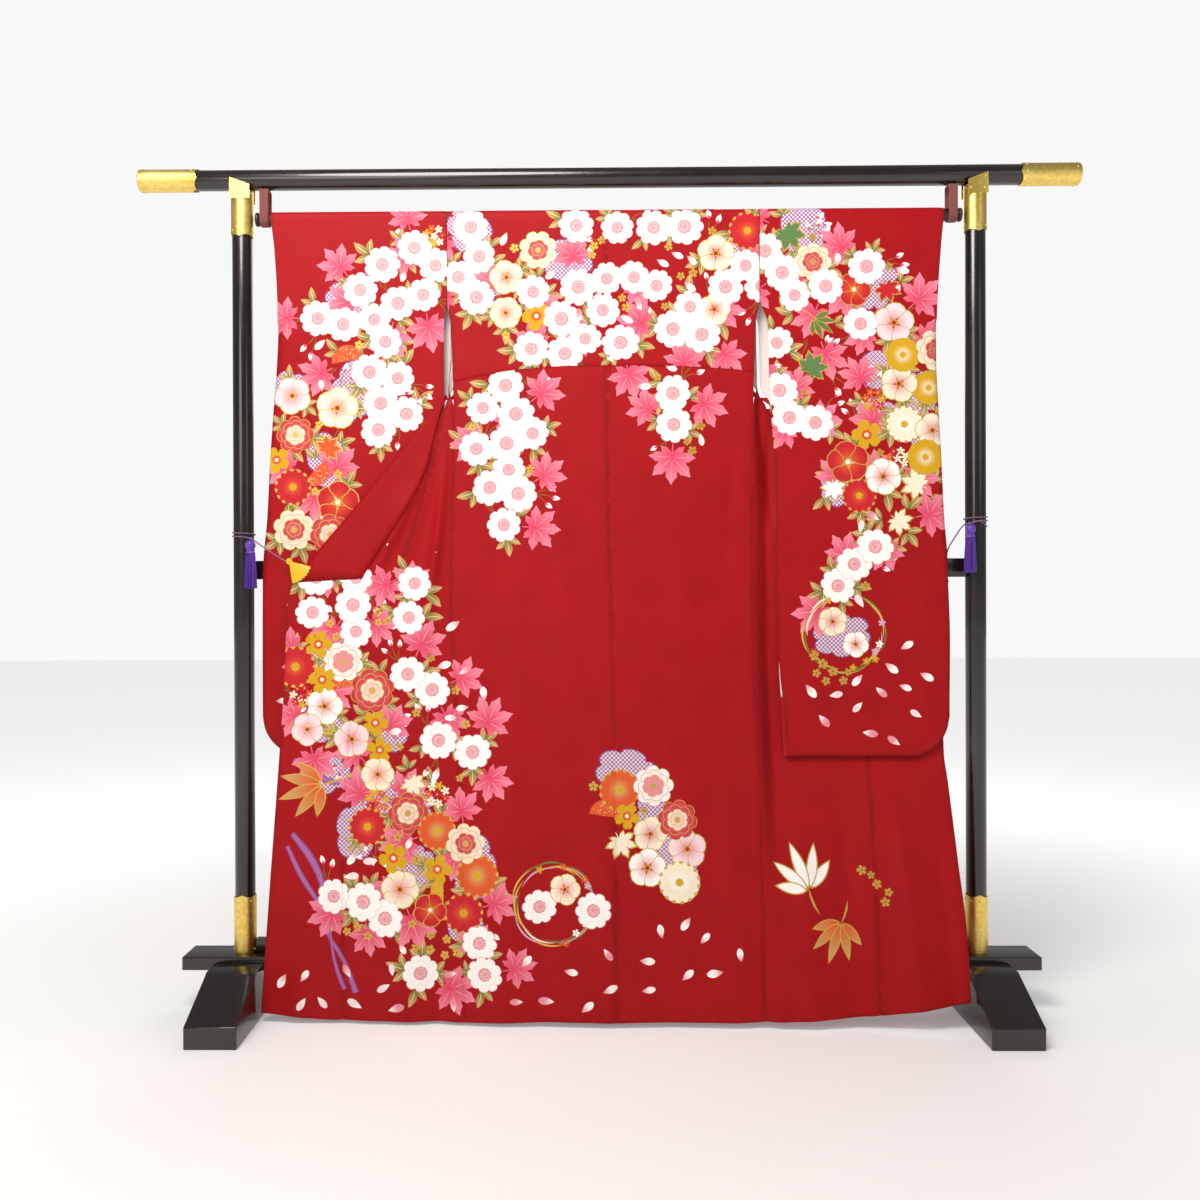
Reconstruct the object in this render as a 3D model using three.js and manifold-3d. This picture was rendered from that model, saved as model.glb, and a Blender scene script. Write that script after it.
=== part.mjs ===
// A furisode kimono hung by its sleeves on a lacquered kimono stand, shown from the back.
// Millimetres, +Z up, +X to the viewer's right, -Y towards the viewer.
// The origin is on the floor, below the middle of the stand.

import * as THREE from 'three';
import { mergeVertices } from 'three/addons/utils/BufferGeometryUtils.js';
import Module from 'manifold-3d';

const wasm = await Module();
wasm.setup();

// Driving dimensions of the stand
const clearance = 0.3;
const postX = 750;
const postRadius = 20.5;
const barLength = 1921;
const barHeight = 1700;
const footHalfWidth = 50;
const footHalfLength = 240;
const footToe = 42;
const footTop = 103;
const footFlat = 100;
const boardHalfLength = 868;
const boardHalfDepth = 42;
const boardBottom = 87;
const boardTop = 114;
const lowRailTop = 142;
const midRail = { bottom: 880, top: 918, halfDepth: 10 };
const fitting = { thickness: 1.8, length: 120, capLength: 123, scallop: 5 };
const rod = { radius: 13, height: 1619, halfLength: 722, capLength: 8 };
const strap = { width: 18, thickness: 2.2, x: 702 };

// Driving dimensions of the cloth
const clothThickness = 1.6;
const seamHalfGap = 0.4;
const rodSteps = 8;
const crestHalfGap = 0.025;
const innerDrape = (rod.radius + clearance / 2) / Math.cos(Math.PI / 2 / rodSteps);
const drapeRadius = innerDrape + clothThickness / 2;
const columns = 6;
const armpitZ = 1236;
const tipZ = 1226;
const armpitGapShare = 0.05;
const collarEndZ = 880;

// Colours
const colours = {
  lacquer: 0x1c1513, gold: 0xd2ab48, rod: 0x171313, strap: 0x9a5a52,
  red: 0xb81c24, collar: 0xa8161e, cord: 0x5a3a6a, tassel: 0x4a2490, clip: 0xf0c030,
};

const group = new THREE.Group();

function addMesh(name, geometry, colour, roughness = 0.8, metalness = 0) {
  const material = new THREE.MeshStandardMaterial({ color: colour, roughness, metalness });
  const mesh = new THREE.Mesh(geometry, material);
  mesh.name = name;
  group.add(mesh);
  return mesh;
}

// Manifold solids, for joining and cutting only

function toSolid(geometry) {
  const bare = geometry.clone();
  bare.deleteAttribute('normal');
  bare.deleteAttribute('uv');
  const merged = mergeVertices(bare, 1e-4);
  const vertProperties = new Float32Array(merged.attributes.position.array);
  const triVerts = new Uint32Array(merged.index.array);
  return new wasm.Manifold(new wasm.Mesh({ numProp: 3, vertProperties, triVerts }));
}

function toGeometry(solid) {
  const mesh = solid.getMesh();
  const geometry = new THREE.BufferGeometry();
  geometry.setAttribute('position', new THREE.BufferAttribute(new Float32Array(mesh.vertProperties), 3));
  geometry.setIndex(new THREE.BufferAttribute(new Uint32Array(mesh.triVerts), 1));
  return geometry;
}

// Interpolation in a short table: rows run from high to low in their key column
function fromTable(table, key, column, value) {
  if (value >= table[0][key]) return table[0][column];
  for (let i = 1; i < table.length; i += 1) {
    if (value >= table[i][key]) {
      const above = table[i - 1];
      const below = table[i];
      const t = (above[key] - value) / (above[key] - below[key]);
      return above[column] + (below[column] - above[column]) * t;
    }
  }
  return table[table.length - 1][column];
}

function lerp(a, b, t) {
  return a + (b - a) * t;
}

function smooth(t) {
  const c = Math.min(1, Math.max(0, t));
  return c * c * (3 - 2 * c);
}

// Closed geometry from a grid of rows, front skin and back skin, with its four rims
function gridGeometry(front, back) {
  const rows = front.length;
  const cols = front[0].length;
  const positions = [];
  for (const skin of [front, back]) {
    for (const row of skin) {
      for (const p of row) positions.push(p.x, p.y, p.z);
    }
  }
  const at = (side, r, c) => side * rows * cols + r * cols + c;
  const index = [];
  const quad = (a, b, c, d) => index.push(a, b, c, a, c, d);
  for (let r = 0; r < rows - 1; r += 1) {
    for (let c = 0; c < cols - 1; c += 1) {
      quad(at(0, r, c), at(0, r + 1, c), at(0, r + 1, c + 1), at(0, r, c + 1));
      quad(at(1, r, c), at(1, r, c + 1), at(1, r + 1, c + 1), at(1, r + 1, c));
    }
    quad(at(0, r, 0), at(1, r, 0), at(1, r + 1, 0), at(0, r + 1, 0));
    quad(at(0, r, cols - 1), at(0, r + 1, cols - 1), at(1, r + 1, cols - 1), at(1, r, cols - 1));
  }
  for (let c = 0; c < cols - 1; c += 1) {
    quad(at(0, 0, c), at(0, 0, c + 1), at(1, 0, c + 1), at(1, 0, c));
    quad(at(0, rows - 1, c), at(1, rows - 1, c), at(1, rows - 1, c + 1), at(0, rows - 1, c + 1));
  }
  return outward(positions, index);
}

// Indexed geometry whose faces point out: a negative volume turns every triangle round
function outward(positions, index) {
  let volume = 0;
  for (let i = 0; i < index.length; i += 3) {
    const [a, b, c] = [index[i], index[i + 1], index[i + 2]].map(
      (n) => new THREE.Vector3(positions[3 * n], positions[3 * n + 1], positions[3 * n + 2]),
    );
    volume += a.dot(b.cross(c));
  }
  const turned = [];
  for (let i = 0; i < index.length; i += 3) {
    if (volume < 0) turned.push(index[i], index[i + 2], index[i + 1]);
    else turned.push(index[i], index[i + 1], index[i + 2]);
  }
  const geometry = new THREE.BufferGeometry();
  geometry.setAttribute('position', new THREE.Float32BufferAttribute(positions, 3));
  geometry.setIndex(turned);
  return geometry;
}

// A cloth wall: rows of points on its middle, with half the thickness added on each side
function clothWall(rows, thickness = clothThickness) {
  const front = [];
  const back = [];
  for (let r = 0; r < rows.length; r += 1) {
    const frontRow = [];
    const backRow = [];
    for (let c = 0; c < rows[r].length; c += 1) {
      const before = rows[Math.max(0, r - 1)][c];
      const after = rows[Math.min(rows.length - 1, r + 1)][c];
      const left = rows[r][Math.max(0, c - 1)];
      const right = rows[r][Math.min(rows[r].length - 1, c + 1)];
      const along = after.clone().sub(before);
      const across = right.clone().sub(left);
      const normal = along.cross(across).normalize();
      frontRow.push(rows[r][c].clone().addScaledVector(normal, thickness / 2));
      backRow.push(rows[r][c].clone().addScaledVector(normal, -thickness / 2));
    }
    front.push(frontRow);
    back.push(backRow);
  }
  return gridGeometry(front, back);
}

// A solid lofted through slots: each ring is a list of pairs, near point and far point
function slotLoft(rings) {
  const near = rings.map((ring) => ring.map((pair) => pair[0]));
  const far = rings.map((ring) => ring.map((pair) => pair[1]));
  return gridGeometry(near, far);
}

function boxBetween(low, high) {
  const size = new THREE.Vector3().subVectors(high, low);
  const middle = new THREE.Vector3().addVectors(low, high).multiplyScalar(0.5);
  return new THREE.BoxGeometry(size.x, size.y, size.z).translate(middle.x, middle.y, middle.z);
}

// Extrudes a shape drawn in the YZ plane along X, centred on x
function extrudeAlongX(shape, x, width) {
  const geometry = new THREE.ExtrudeGeometry(shape, { depth: width, bevelEnabled: false });
  geometry.applyMatrix4(new THREE.Matrix4().makeBasis(
    new THREE.Vector3(0, 1, 0), new THREE.Vector3(0, 0, 1), new THREE.Vector3(1, 0, 0),
  ));
  return geometry.translate(x - width / 2, 0, 0);
}

// Extrudes a shape drawn in the XZ plane towards +Y, starting at y
function extrudeAlongY(shape, y, depth) {
  const geometry = new THREE.ExtrudeGeometry(shape, { depth, bevelEnabled: false });
  return geometry.rotateX(Math.PI / 2).translate(0, y + depth, 0);
}

function cylinderX(radius, from, to, segments = 28) {
  const geometry = new THREE.CylinderGeometry(radius, radius, to - from, segments);
  return geometry.rotateZ(Math.PI / 2).translate((from + to) / 2, 0, 0);
}

function cylinderZ(radius, from, to, segments = 28) {
  const geometry = new THREE.CylinderGeometry(radius, radius, to - from, segments);
  return geometry.rotateX(Math.PI / 2).translate(0, 0, (from + to) / 2);
}

// The stand: feet, base board, rails, posts and top bar

function footShape() {
  const notch = boardHalfDepth + clearance;
  const shape = new THREE.Shape();
  shape.moveTo(-footHalfLength, 0);
  shape.lineTo(footHalfLength, 0);
  shape.lineTo(footHalfLength, footToe);
  shape.lineTo(footFlat + 12, footTop - 6);
  shape.lineTo(footFlat, footTop);
  shape.lineTo(notch, footTop);
  shape.lineTo(notch, boardBottom - clearance);
  shape.lineTo(-notch, boardBottom - clearance);
  shape.lineTo(-notch, footTop);
  shape.lineTo(-footFlat, footTop);
  shape.lineTo(-footFlat - 12, footTop - 6);
  shape.lineTo(-footHalfLength, footToe);
  return shape;
}

function addStand() {
  const railEnd = postX - postRadius - clearance;
  const lowRailEnd = railEnd - fitting.thickness - clearance;
  const barUnderside = barHeight - postRadius;
  for (const [side, sign] of [['left', -1], ['right', 1]]) {
    addMesh(`foot_${side}`, extrudeAlongX(footShape(), sign * postX, 2 * footHalfWidth), colours.lacquer, 0.25);
    const post = cylinderZ(postRadius, boardTop + clearance, barUnderside - clearance);
    addMesh(`post_${side}`, post.translate(sign * postX, 0, 0), colours.lacquer, 0.2);
  }
  addMesh('base_board', boxBetween(
    new THREE.Vector3(-boardHalfLength, -boardHalfDepth, boardBottom),
    new THREE.Vector3(boardHalfLength, boardHalfDepth, boardTop),
  ), colours.lacquer, 0.25);
  addMesh('low_rail', boxBetween(
    new THREE.Vector3(-lowRailEnd, -midRail.halfDepth, boardTop + clearance),
    new THREE.Vector3(lowRailEnd, midRail.halfDepth, lowRailTop),
  ), colours.lacquer, 0.25);
  addMesh('mid_rail', boxBetween(
    new THREE.Vector3(-railEnd, -midRail.halfDepth, midRail.bottom),
    new THREE.Vector3(railEnd, midRail.halfDepth, midRail.top),
  ), colours.lacquer, 0.25);
  const barEnd = barLength / 2 - fitting.thickness - clearance;
  addMesh('top_bar', cylinderX(postRadius, -barEnd, barEnd).translate(0, 0, barHeight), colours.lacquer, 0.2);
}

// Gold fittings: a sheet wall round the post or bar, with a scalloped edge

function fittingTube(innerRadius, edge, endZ) {
  const segments = 32;
  const ring = (radius, height) => {
    const points = [];
    for (let i = 0; i < segments; i += 1) {
      const angle = (i / segments) * Math.PI * 2;
      points.push(new THREE.Vector3(radius * Math.cos(angle), radius * Math.sin(angle), height(angle)));
    }
    return points;
  };
  const outer = innerRadius + fitting.thickness;
  const loops = [
    ring(innerRadius, edge), ring(outer, edge), ring(outer, () => endZ), ring(innerRadius, () => endZ),
  ];
  const positions = [];
  for (const loop of loops) {
    for (const p of loop) positions.push(p.x, p.y, p.z);
  }
  const index = [];
  for (let k = 0; k < 4; k += 1) {
    for (let i = 0; i < segments; i += 1) {
      const j = (i + 1) % segments;
      const next = ((k + 1) % 4) * segments;
      index.push(k * segments + i, k * segments + j, next + j, k * segments + i, next + j, next + i);
    }
  }
  return outward(positions, index);
}

// The scalloped edge rises and falls four times round, with a notch on one side
function scallopedEdge(z, direction, notchAngle) {
  return (angle) => {
    const wave = Math.abs(Math.sin(2 * angle)) * fitting.scallop;
    const away = Math.cos(angle - notchAngle);
    const notch = 2 * fitting.scallop * smooth((away - 0.9) / 0.1);
    return z + direction * (wave + notch);
  };
}

function addFittings() {
  const inner = postRadius + clearance;
  const railLevel = barHeight - postRadius - clearance;
  for (const [side, sign] of [['left', -1], ['right', 1]]) {
    const outside = sign > 0 ? 0 : Math.PI;
    const lowTop = boardTop + clearance + fitting.length;
    const lower = fittingTube(inner, scallopedEdge(lowTop, -1, outside), boardTop + clearance);
    addMesh(`ferrule_low_${side}`, lower.translate(sign * postX, 0, 0), colours.gold, 0.3, 1);
    const upperEdge = scallopedEdge(barHeight - fitting.length, 1, outside);
    const tube = toSolid(fittingTube(inner, upperEdge, railLevel - fitting.thickness));
    const cheeks = new THREE.Shape();
    cheeks.moveTo(-postRadius, railLevel - 22);
    cheeks.lineTo(postRadius, railLevel - 22);
    cheeks.lineTo(postRadius, sign > 0 ? barHeight : railLevel + 6);
    cheeks.lineTo(-postRadius, sign > 0 ? railLevel + 6 : barHeight);
    const near = toSolid(extrudeAlongY(cheeks, -inner - fitting.thickness, fitting.thickness));
    const far = toSolid(extrudeAlongY(cheeks, inner, fitting.thickness));
    const upper = toGeometry(tube.add(near).add(far));
    addMesh(`ferrule_up_${side}`, upper.translate(sign * postX, 0, 0), colours.gold, 0.3, 1);
    const cupDepth = fitting.capLength - fitting.thickness;
    const wall = toSolid(fittingTube(inner, scallopedEdge(0, 1, Math.PI), cupDepth + 1));
    const disc = toSolid(cylinderZ(inner + fitting.thickness, cupDepth, fitting.capLength, 32));
    const cup = toGeometry(wall.add(disc)).rotateY(sign * Math.PI / 2);
    const capStart = barLength / 2 - fitting.capLength;
    addMesh(`bar_cap_${side}`, cup.translate(sign * capStart, 0, barHeight), colours.gold, 0.3, 1);
  }
}

// The hanging rod in its two straps

function addRod() {
  const bodyEnd = rod.halfLength - rod.capLength;
  const body = cylinderX(rod.radius, -bodyEnd, bodyEnd, 24);
  addMesh('hang_rod', body.translate(0, 0, rod.height), colours.rod, 0.35);
  for (const [side, sign] of [['left', -1], ['right', 1]]) {
    const from = sign > 0 ? bodyEnd + clearance : -rod.halfLength;
    const cap = cylinderX(rod.radius + 1, from, from + rod.capLength - clearance, 24);
    addMesh(`rod_cap_${side}`, cap.translate(0, 0, rod.height), colours.rod, 0.4);
    const inner = rod.radius + clearance;
    const outer = inner + strap.thickness;
    const top = barHeight - postRadius - clearance;
    const shape = new THREE.Shape();
    shape.moveTo(-outer, top);
    shape.lineTo(-outer, rod.height);
    shape.absarc(0, rod.height, outer, Math.PI, 2 * Math.PI, false);
    shape.lineTo(outer, top);
    const hole = new THREE.Path();
    hole.moveTo(-inner, top - strap.thickness);
    hole.lineTo(-inner, rod.height);
    hole.absarc(0, rod.height, inner, Math.PI, 2 * Math.PI, false);
    hole.lineTo(inner, top - strap.thickness);
    shape.holes.push(hole);
    addMesh(`strap_${side}`, extrudeAlongX(shape, sign * strap.x, strap.width), colours.strap, 0.8);
  }
}

// The drape of the cloth, worked out from short tables

// Back panels: the centre seam and the two side edges, with their depths
const rodY = -drapeRadius;
const backTable = [
  { z: 1619, centreX: -5, leftX: -327.4, rightX: 308.6, centreY: rodY, leftY: rodY, rightY: rodY },
  { z: 1448, centreX: -5, leftX: -327.4, rightX: 308.6, centreY: -15.5, leftY: -15, rightY: -15 },
  { z: 1400, centreX: -4, leftX: -321, rightX: 301, centreY: -16, leftY: -15.5, rightY: -15.5 },
  { z: 1236, centreX: -4, leftX: -315, rightX: 295, centreY: -21, leftY: -18, rightY: -18 },
  { z: 1115, centreX: -3, leftX: -314, rightX: 292, centreY: -27, leftY: -22, rightY: -21 },
  { z: 1005, centreX: -1, leftX: -318, rightX: 290, centreY: -34, leftY: -27, rightY: -26 },
  { z: 850, centreX: 3, leftX: -319, rightX: 289, centreY: -45, leftY: -38, rightY: -35 },
  { z: 636, centreX: 8, leftX: -308, rightX: 292, centreY: -66, leftY: -55, rightY: -54 },
  { z: 474, centreX: 9, leftX: -300, rightX: 298, centreY: -84, leftY: -71, rightY: -73 },
  { z: 240, centreX: 9, leftX: -292, rightX: 299, centreY: -108, leftY: -95, rightY: -101 },
  { z: 9, centreX: 9, leftX: -287, rightX: 299, centreY: -127, leftY: -113, rightY: -127 },
];

// Opened fronts: the seam of the overlap panel, the front edge, and depths by the side seam and the edge
const wingTable = {
  left: [
    { z: 1236, overlapX: -331, collarX: -334.5, edgeX: -341, midY: -20.5, edgeY: -21 },
    { z: 1200, overlapX: -338, collarX: -346, edgeX: -372, midY: -22.5, edgeY: -23 },
    { z: 1115, overlapX: -358, collarX: -366, edgeX: -440, midY: -27, edgeY: -27 },
    { z: 1068, overlapX: -370, collarX: -384, edgeX: -480, midY: -29, edgeY: -29 },
    { z: 1005, overlapX: -388, collarX: -420, edgeX: -532, midY: -31, edgeY: -31 },
    { z: 946, overlapX: -407, collarX: -458, edgeX: -583, midY: -34, edgeY: -33 },
    { z: 900, overlapX: -425, collarX: -488, edgeX: -618, midY: -37, edgeY: -35 },
    { z: 870, overlapX: -438, collarX: -505, edgeX: -641, midY: -39, edgeY: -36 },
    { z: 800, overlapX: -470, collarX: -505, edgeX: -653, midY: -43, edgeY: -39 },
    { z: 696, overlapX: -508, collarX: -505, edgeX: -655, midY: -51, edgeY: -45 },
    { z: 563, overlapX: -524, collarX: -505, edgeX: -662, midY: -62, edgeY: -54 },
    { z: 318, overlapX: -533, collarX: -505, edgeX: -676, midY: -84, edgeY: -74 },
    { z: 120, overlapX: -531, collarX: -505, edgeX: -687, midY: -100, edgeY: -90 },
    { z: 9, overlapX: -529, collarX: -505, edgeX: -694, midY: -106, edgeY: -96 },
  ],
  right: [
    { z: 1236, overlapX: 322, collarX: 328, edgeX: 336, midY: 4.5, edgeY: 4.5 },
    { z: 1200, overlapX: 333, collarX: 344, edgeX: 366, midY: 2, edgeY: 2 },
    { z: 1115, overlapX: 352, collarX: 366, edgeX: 440, midY: -3, edgeY: -3 },
    { z: 1068, overlapX: 364, collarX: 384, edgeX: 482, midY: -5.5, edgeY: -5.5 },
    { z: 1005, overlapX: 382, collarX: 420, edgeX: 538, midY: -9, edgeY: -9 },
    { z: 946, overlapX: 400, collarX: 458, edgeX: 592, midY: -12.2, edgeY: -12.2 },
    { z: 900, overlapX: 420, collarX: 490, edgeX: 634, midY: -13, edgeY: -13 },
    { z: 870, overlapX: 434, collarX: 508, edgeX: 660, midY: -13.5, edgeY: -13.5 },
    { z: 800, overlapX: 468, collarX: 508, edgeX: 669, midY: -15, edgeY: -15 },
    { z: 696, overlapX: 502, collarX: 508, edgeX: 672, midY: -18, edgeY: -18 },
    { z: 563, overlapX: 518, collarX: 508, edgeX: 675, midY: -25, edgeY: -27 },
    { z: 520, overlapX: 520, collarX: 508, edgeX: 675, midY: -31, edgeY: -32 },
    { z: 474, overlapX: 521, collarX: 508, edgeX: 676, midY: -44, edgeY: -52 },
    { z: 318, overlapX: 521, collarX: 508, edgeX: 683, midY: -84, edgeY: -96 },
    { z: 186, overlapX: 521, collarX: 508, edgeX: 691, midY: -110, edgeY: -125 },
    { z: 9, overlapX: 521, collarX: 508, edgeX: 694, midY: -136, edgeY: -149 },
  ],
};

// Height of the hem above the floor, from side to side
const hemTable = [
  { x: 694, z: 56 }, { x: 547, z: 32 }, { x: 484, z: 25 }, { x: 380, z: 18 }, { x: 299, z: 14 },
  { x: 211, z: 12 }, { x: -100, z: 11 }, { x: -328, z: 7 }, { x: -532, z: 8 }, { x: -694, z: 20 },
];

// Creases that spread from the armpit over the opened front: direction in degrees from straight
// down, half width in degrees, height towards the viewer
const creaseTable = {
  left: [
    { angle: 12, halfWidth: 5, height: 5 },
    { angle: 25, halfWidth: 5, height: -4 },
    { angle: 33, halfWidth: 4, height: 7 },
    { angle: 41, halfWidth: 3, height: 4 },
  ],
  right: [
    { angle: 16, halfWidth: 6, height: 1.2 },
    { angle: 30, halfWidth: 5, height: 1 },
  ],
};

// Heights of the rows that the back panels and the opened fronts share below the armpit
const sharedHeights = [
  1236, 1200, 1160, 1115, 1068, 1005, 946, 900, 870, 800, 696,
  630, 563, 520, 474, 396, 318, 240, 186, 120, 62, 0,
];

function hemZ(x) {
  return fromTable(hemTable, 'x', 'z', x);
}

function sideX(side, z) {
  return fromTable(backTable, 'z', `${side}X`, z);
}

function backY(side, z, across) {
  const centre = fromTable(backTable, 'z', 'centreY', z);
  const edge = fromTable(backTable, 'z', `${side}Y`, z);
  return lerp(centre, edge, across ** 1.6);
}

// The tuck across the back: the cloth above it stands out over the cloth below
const tuck = { z: 1314, leftDrop: 31, rightDrop: 14, step: 2.4, halfHeight: 3 };

function tuckZ(side, across) {
  const drop = side === 'left' ? tuck.leftDrop : tuck.rightDrop;
  return tuck.z - drop * across ** 2.5;
}

function backRow(side, sign, z, shape = {}) {
  const row = [];
  for (let c = 0; c <= columns; c += 1) {
    const across = c / columns;
    const here = z + (shape.rise ? shape.rise(across) : 0);
    const centre = fromTable(backTable, 'z', 'centreX', here) + sign * seamHalfGap;
    const x = lerp(centre, sideX(side, here), across);
    const height = z === 0 ? hemZ(x) : here;
    row.push(new THREE.Vector3(x, backY(side, height, across) - (shape.step ?? 0), height));
  }
  return row;
}

function backRows(side, sign) {
  const rows = [...sharedHeights].reverse().map((z) => backRow(side, sign, z));
  const below = (across) => tuckZ(side, across) - tuck.z - tuck.halfHeight;
  const above = (across) => tuckZ(side, across) - tuck.z + tuck.halfHeight;
  rows.push(backRow(side, sign, tuck.z, { rise: below }));
  rows.push(backRow(side, sign, tuck.z, { rise: above, step: tuck.step }));
  for (const z of [1400, 1448, 1530]) rows.push(backRow(side, sign, z));
  return rows;
}

// Rows over half of the rod: the viewer's side of its crest, or the far side
function rodRows(side, sign, far) {
  const rows = [];
  const first = far ? rodSteps / 2 : 0;
  for (let i = first; i <= first + rodSteps / 2; i += 1) {
    const parting = i === rodSteps / 2 ? crestHalfGap * (far ? 1 : -1) : 0;
    const angle = (i / rodSteps) * Math.PI + parting;
    const row = backRow(side, sign, rod.height);
    for (const p of row) {
      p.y = -drapeRadius * Math.cos(angle);
      p.z = rod.height + drapeRadius * Math.sin(angle);
    }
    rows.push(row);
  }
  return rows;
}

// Front of the body behind the rod, gathered towards the armpit: inner and outer edge of each section
const gatherTable = {
  left: [
    { innerX: -86, innerY: 13.4, innerZ: 1598, outerX: -327, outerY: 13.4, outerZ: 1598 },
    { innerX: -135, innerY: 12.2, innerZ: 1535, outerX: -325.5, outerY: 12, outerZ: 1530 },
    { innerX: -210, innerY: 10, innerZ: 1435, outerX: -322, outerY: 9, outerZ: 1430 },
    { innerX: -284, innerY: 6, innerZ: 1330, outerX: -321.5, outerY: 5, outerZ: 1345 },
    { innerX: -316, innerY: 1.5, innerZ: 1274, outerX: -324, outerY: -1, outerZ: 1292 },
    { innerX: -326, innerY: -5, innerZ: 1250, outerX: -325.5, outerY: -13, outerZ: 1264 },
  ],
  right: [
    { innerX: 76, innerY: 13.4, innerZ: 1598, outerX: 308.3, outerY: 13.4, outerZ: 1598 },
    { innerX: 122, innerY: 12.4, innerZ: 1535, outerX: 306, outerY: 12.2, outerZ: 1530 },
    { innerX: 195, innerY: 10.6, innerZ: 1435, outerX: 303, outerY: 10, outerZ: 1430 },
    { innerX: 268, innerY: 8.5, innerZ: 1330, outerX: 303, outerY: 6, outerZ: 1345 },
    { innerX: 300, innerY: 7.5, innerZ: 1274, outerX: 303.5, outerY: 0, outerZ: 1292 },
    { innerX: 311, innerY: 6, innerZ: 1250, outerX: 302.5, outerY: -8, outerZ: 1262 },
  ],
};

// Folds of the gathered front, deepest where it is narrow
function gatherRows(side) {
  const folds = 3;
  return gatherTable[side].map((section, r) => {
    const inner = new THREE.Vector3(section.innerX, section.innerY, section.innerZ);
    const outer = new THREE.Vector3(section.outerX, section.outerY, section.outerZ);
    const depth = [0, 0.6, 1.6, 1.2, 0, 0][r];
    const row = [];
    for (let c = 0; c <= columns; c += 1) {
      const across = c / columns;
      const p = inner.clone().lerp(outer, across);
      p.y += depth * Math.sin(across * folds * Math.PI);
      row.push(p);
    }
    return row;
  });
}

// Depth of the opened front at a point, with its creases and hem waves
function wingY(side, x, z) {
  const seam = sideX(side, z);
  const table = wingTable[side];
  const edge = fromTable(table, 'z', 'edgeX', z);
  const reach = Math.abs(x - seam);
  const width = Math.max(1, Math.abs(edge - seam));
  const turn = side === 'left' ? 60 : Math.min(34, 12 + 0.12 * (armpitZ - z));
  const sideDepth = fromTable(backTable, 'z', `${side}Y`, z);
  const mid = fromTable(table, 'z', 'midY', z);
  const edgeDepth = fromTable(table, 'z', 'edgeY', z);
  const fromSeam = lerp(sideDepth, mid, smooth(reach / turn));
  const base = lerp(fromSeam, edgeDepth, smooth((reach / width - 0.4) / 0.6));
  const down = armpitZ + 24 - z;
  const distance = Math.hypot(reach, down);
  const degrees = THREE.MathUtils.radToDeg(Math.atan2(reach, down));
  const strength = smooth((distance - 60) / 160) * (1 - smooth((distance - 380) / 320));
  let relief = 0;
  for (const crease of creaseTable[side]) {
    const away = (degrees - crease.angle) / crease.halfWidth;
    relief += crease.height * Math.exp(-away * away) * strength;
  }
  const hemWave = 5 * Math.sin(reach / 62) * smooth((420 - z) / 420) * smooth(reach / 80);
  return base - relief - hemWave;
}

function wingPoint(side, x, height) {
  const z = height === 0 ? hemZ(x) : height;
  return new THREE.Vector3(x, wingY(side, x, z), z);
}

// The body front below the armpit, between the seam of the overlap panel and the side seam
function wingRows(side, sign) {
  return sharedHeights.map((height) => {
    const inner = fromTable(wingTable[side], 'z', 'overlapX', height) - sign * seamHalfGap;
    const outer = sideX(side, height) + sign * 2 * seamHalfGap;
    const row = [];
    for (let c = 0; c <= columns; c += 1) {
      row.push(wingPoint(side, lerp(inner, outer, c / columns), height));
    }
    return row;
  });
}

// Each body panel is one length of cloth. Its solids part at the crest of the rod and at the armpit.
function addBodies() {
  for (const [side, sign] of [['left', -1], ['right', 1]]) {
    const back = [...backRows(side, sign), ...rodRows(side, sign, false)];
    addMesh(`body_${side}`, clothWall(back), colours.red);
    const gather = gatherRows(side);
    addMesh(`shoulder_${side}`, clothWall([...rodRows(side, sign, true), ...gather]), colours.red);
    const wing = wingRows(side, sign);
    const armpit = gather[gather.length - 1].map((p, c) => p.clone().lerp(wing[0][c], armpitGapShare));
    addMesh(`front_${side}`, clothWall([armpit, ...wing]), colours.red);
  }
}

// The overlap panel: pointed at the armpit, as wide as the front edge allows below the collar
const overlapColumns = 4;

function addOverlaps() {
  for (const [side, sign] of [['left', -1], ['right', 1]]) {
    const table = wingTable[side];
    const rows = [];
    for (const height of [tipZ, ...sharedHeights.filter((z) => z <= 1200)]) {
      const inner = fromTable(table, 'z', 'overlapX', height) + sign * seamHalfGap;
      const ending = height >= collarEndZ ? 'collarX' : 'edgeX';
      const gap = height >= collarEndZ ? seamHalfGap : 0;
      const outer = fromTable(table, 'z', ending, height) - sign * gap;
      const row = [];
      for (let c = 0; c <= overlapColumns; c += 1) {
        row.push(wingPoint(side, lerp(inner, outer, c / overlapColumns), height));
      }
      rows.push(row);
      if (height === 900) rows.push(collarEndRow(side, sign));
    }
    addMesh(`overlap_${side}`, clothWall(rows), colours.red);
  }
}

// The row of the overlap panel just below the end of the collar
function collarEndRow(side, sign) {
  const table = wingTable[side];
  const inner = fromTable(table, 'z', 'overlapX', collarEndZ) + sign * seamHalfGap;
  const outer = fromTable(table, 'z', 'collarX', collarEndZ) - sign * seamHalfGap;
  const row = [];
  for (let c = 0; c <= overlapColumns; c += 1) {
    row.push(wingPoint(side, lerp(inner, outer, c / overlapColumns), collarEndZ));
  }
  return row;
}

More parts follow.
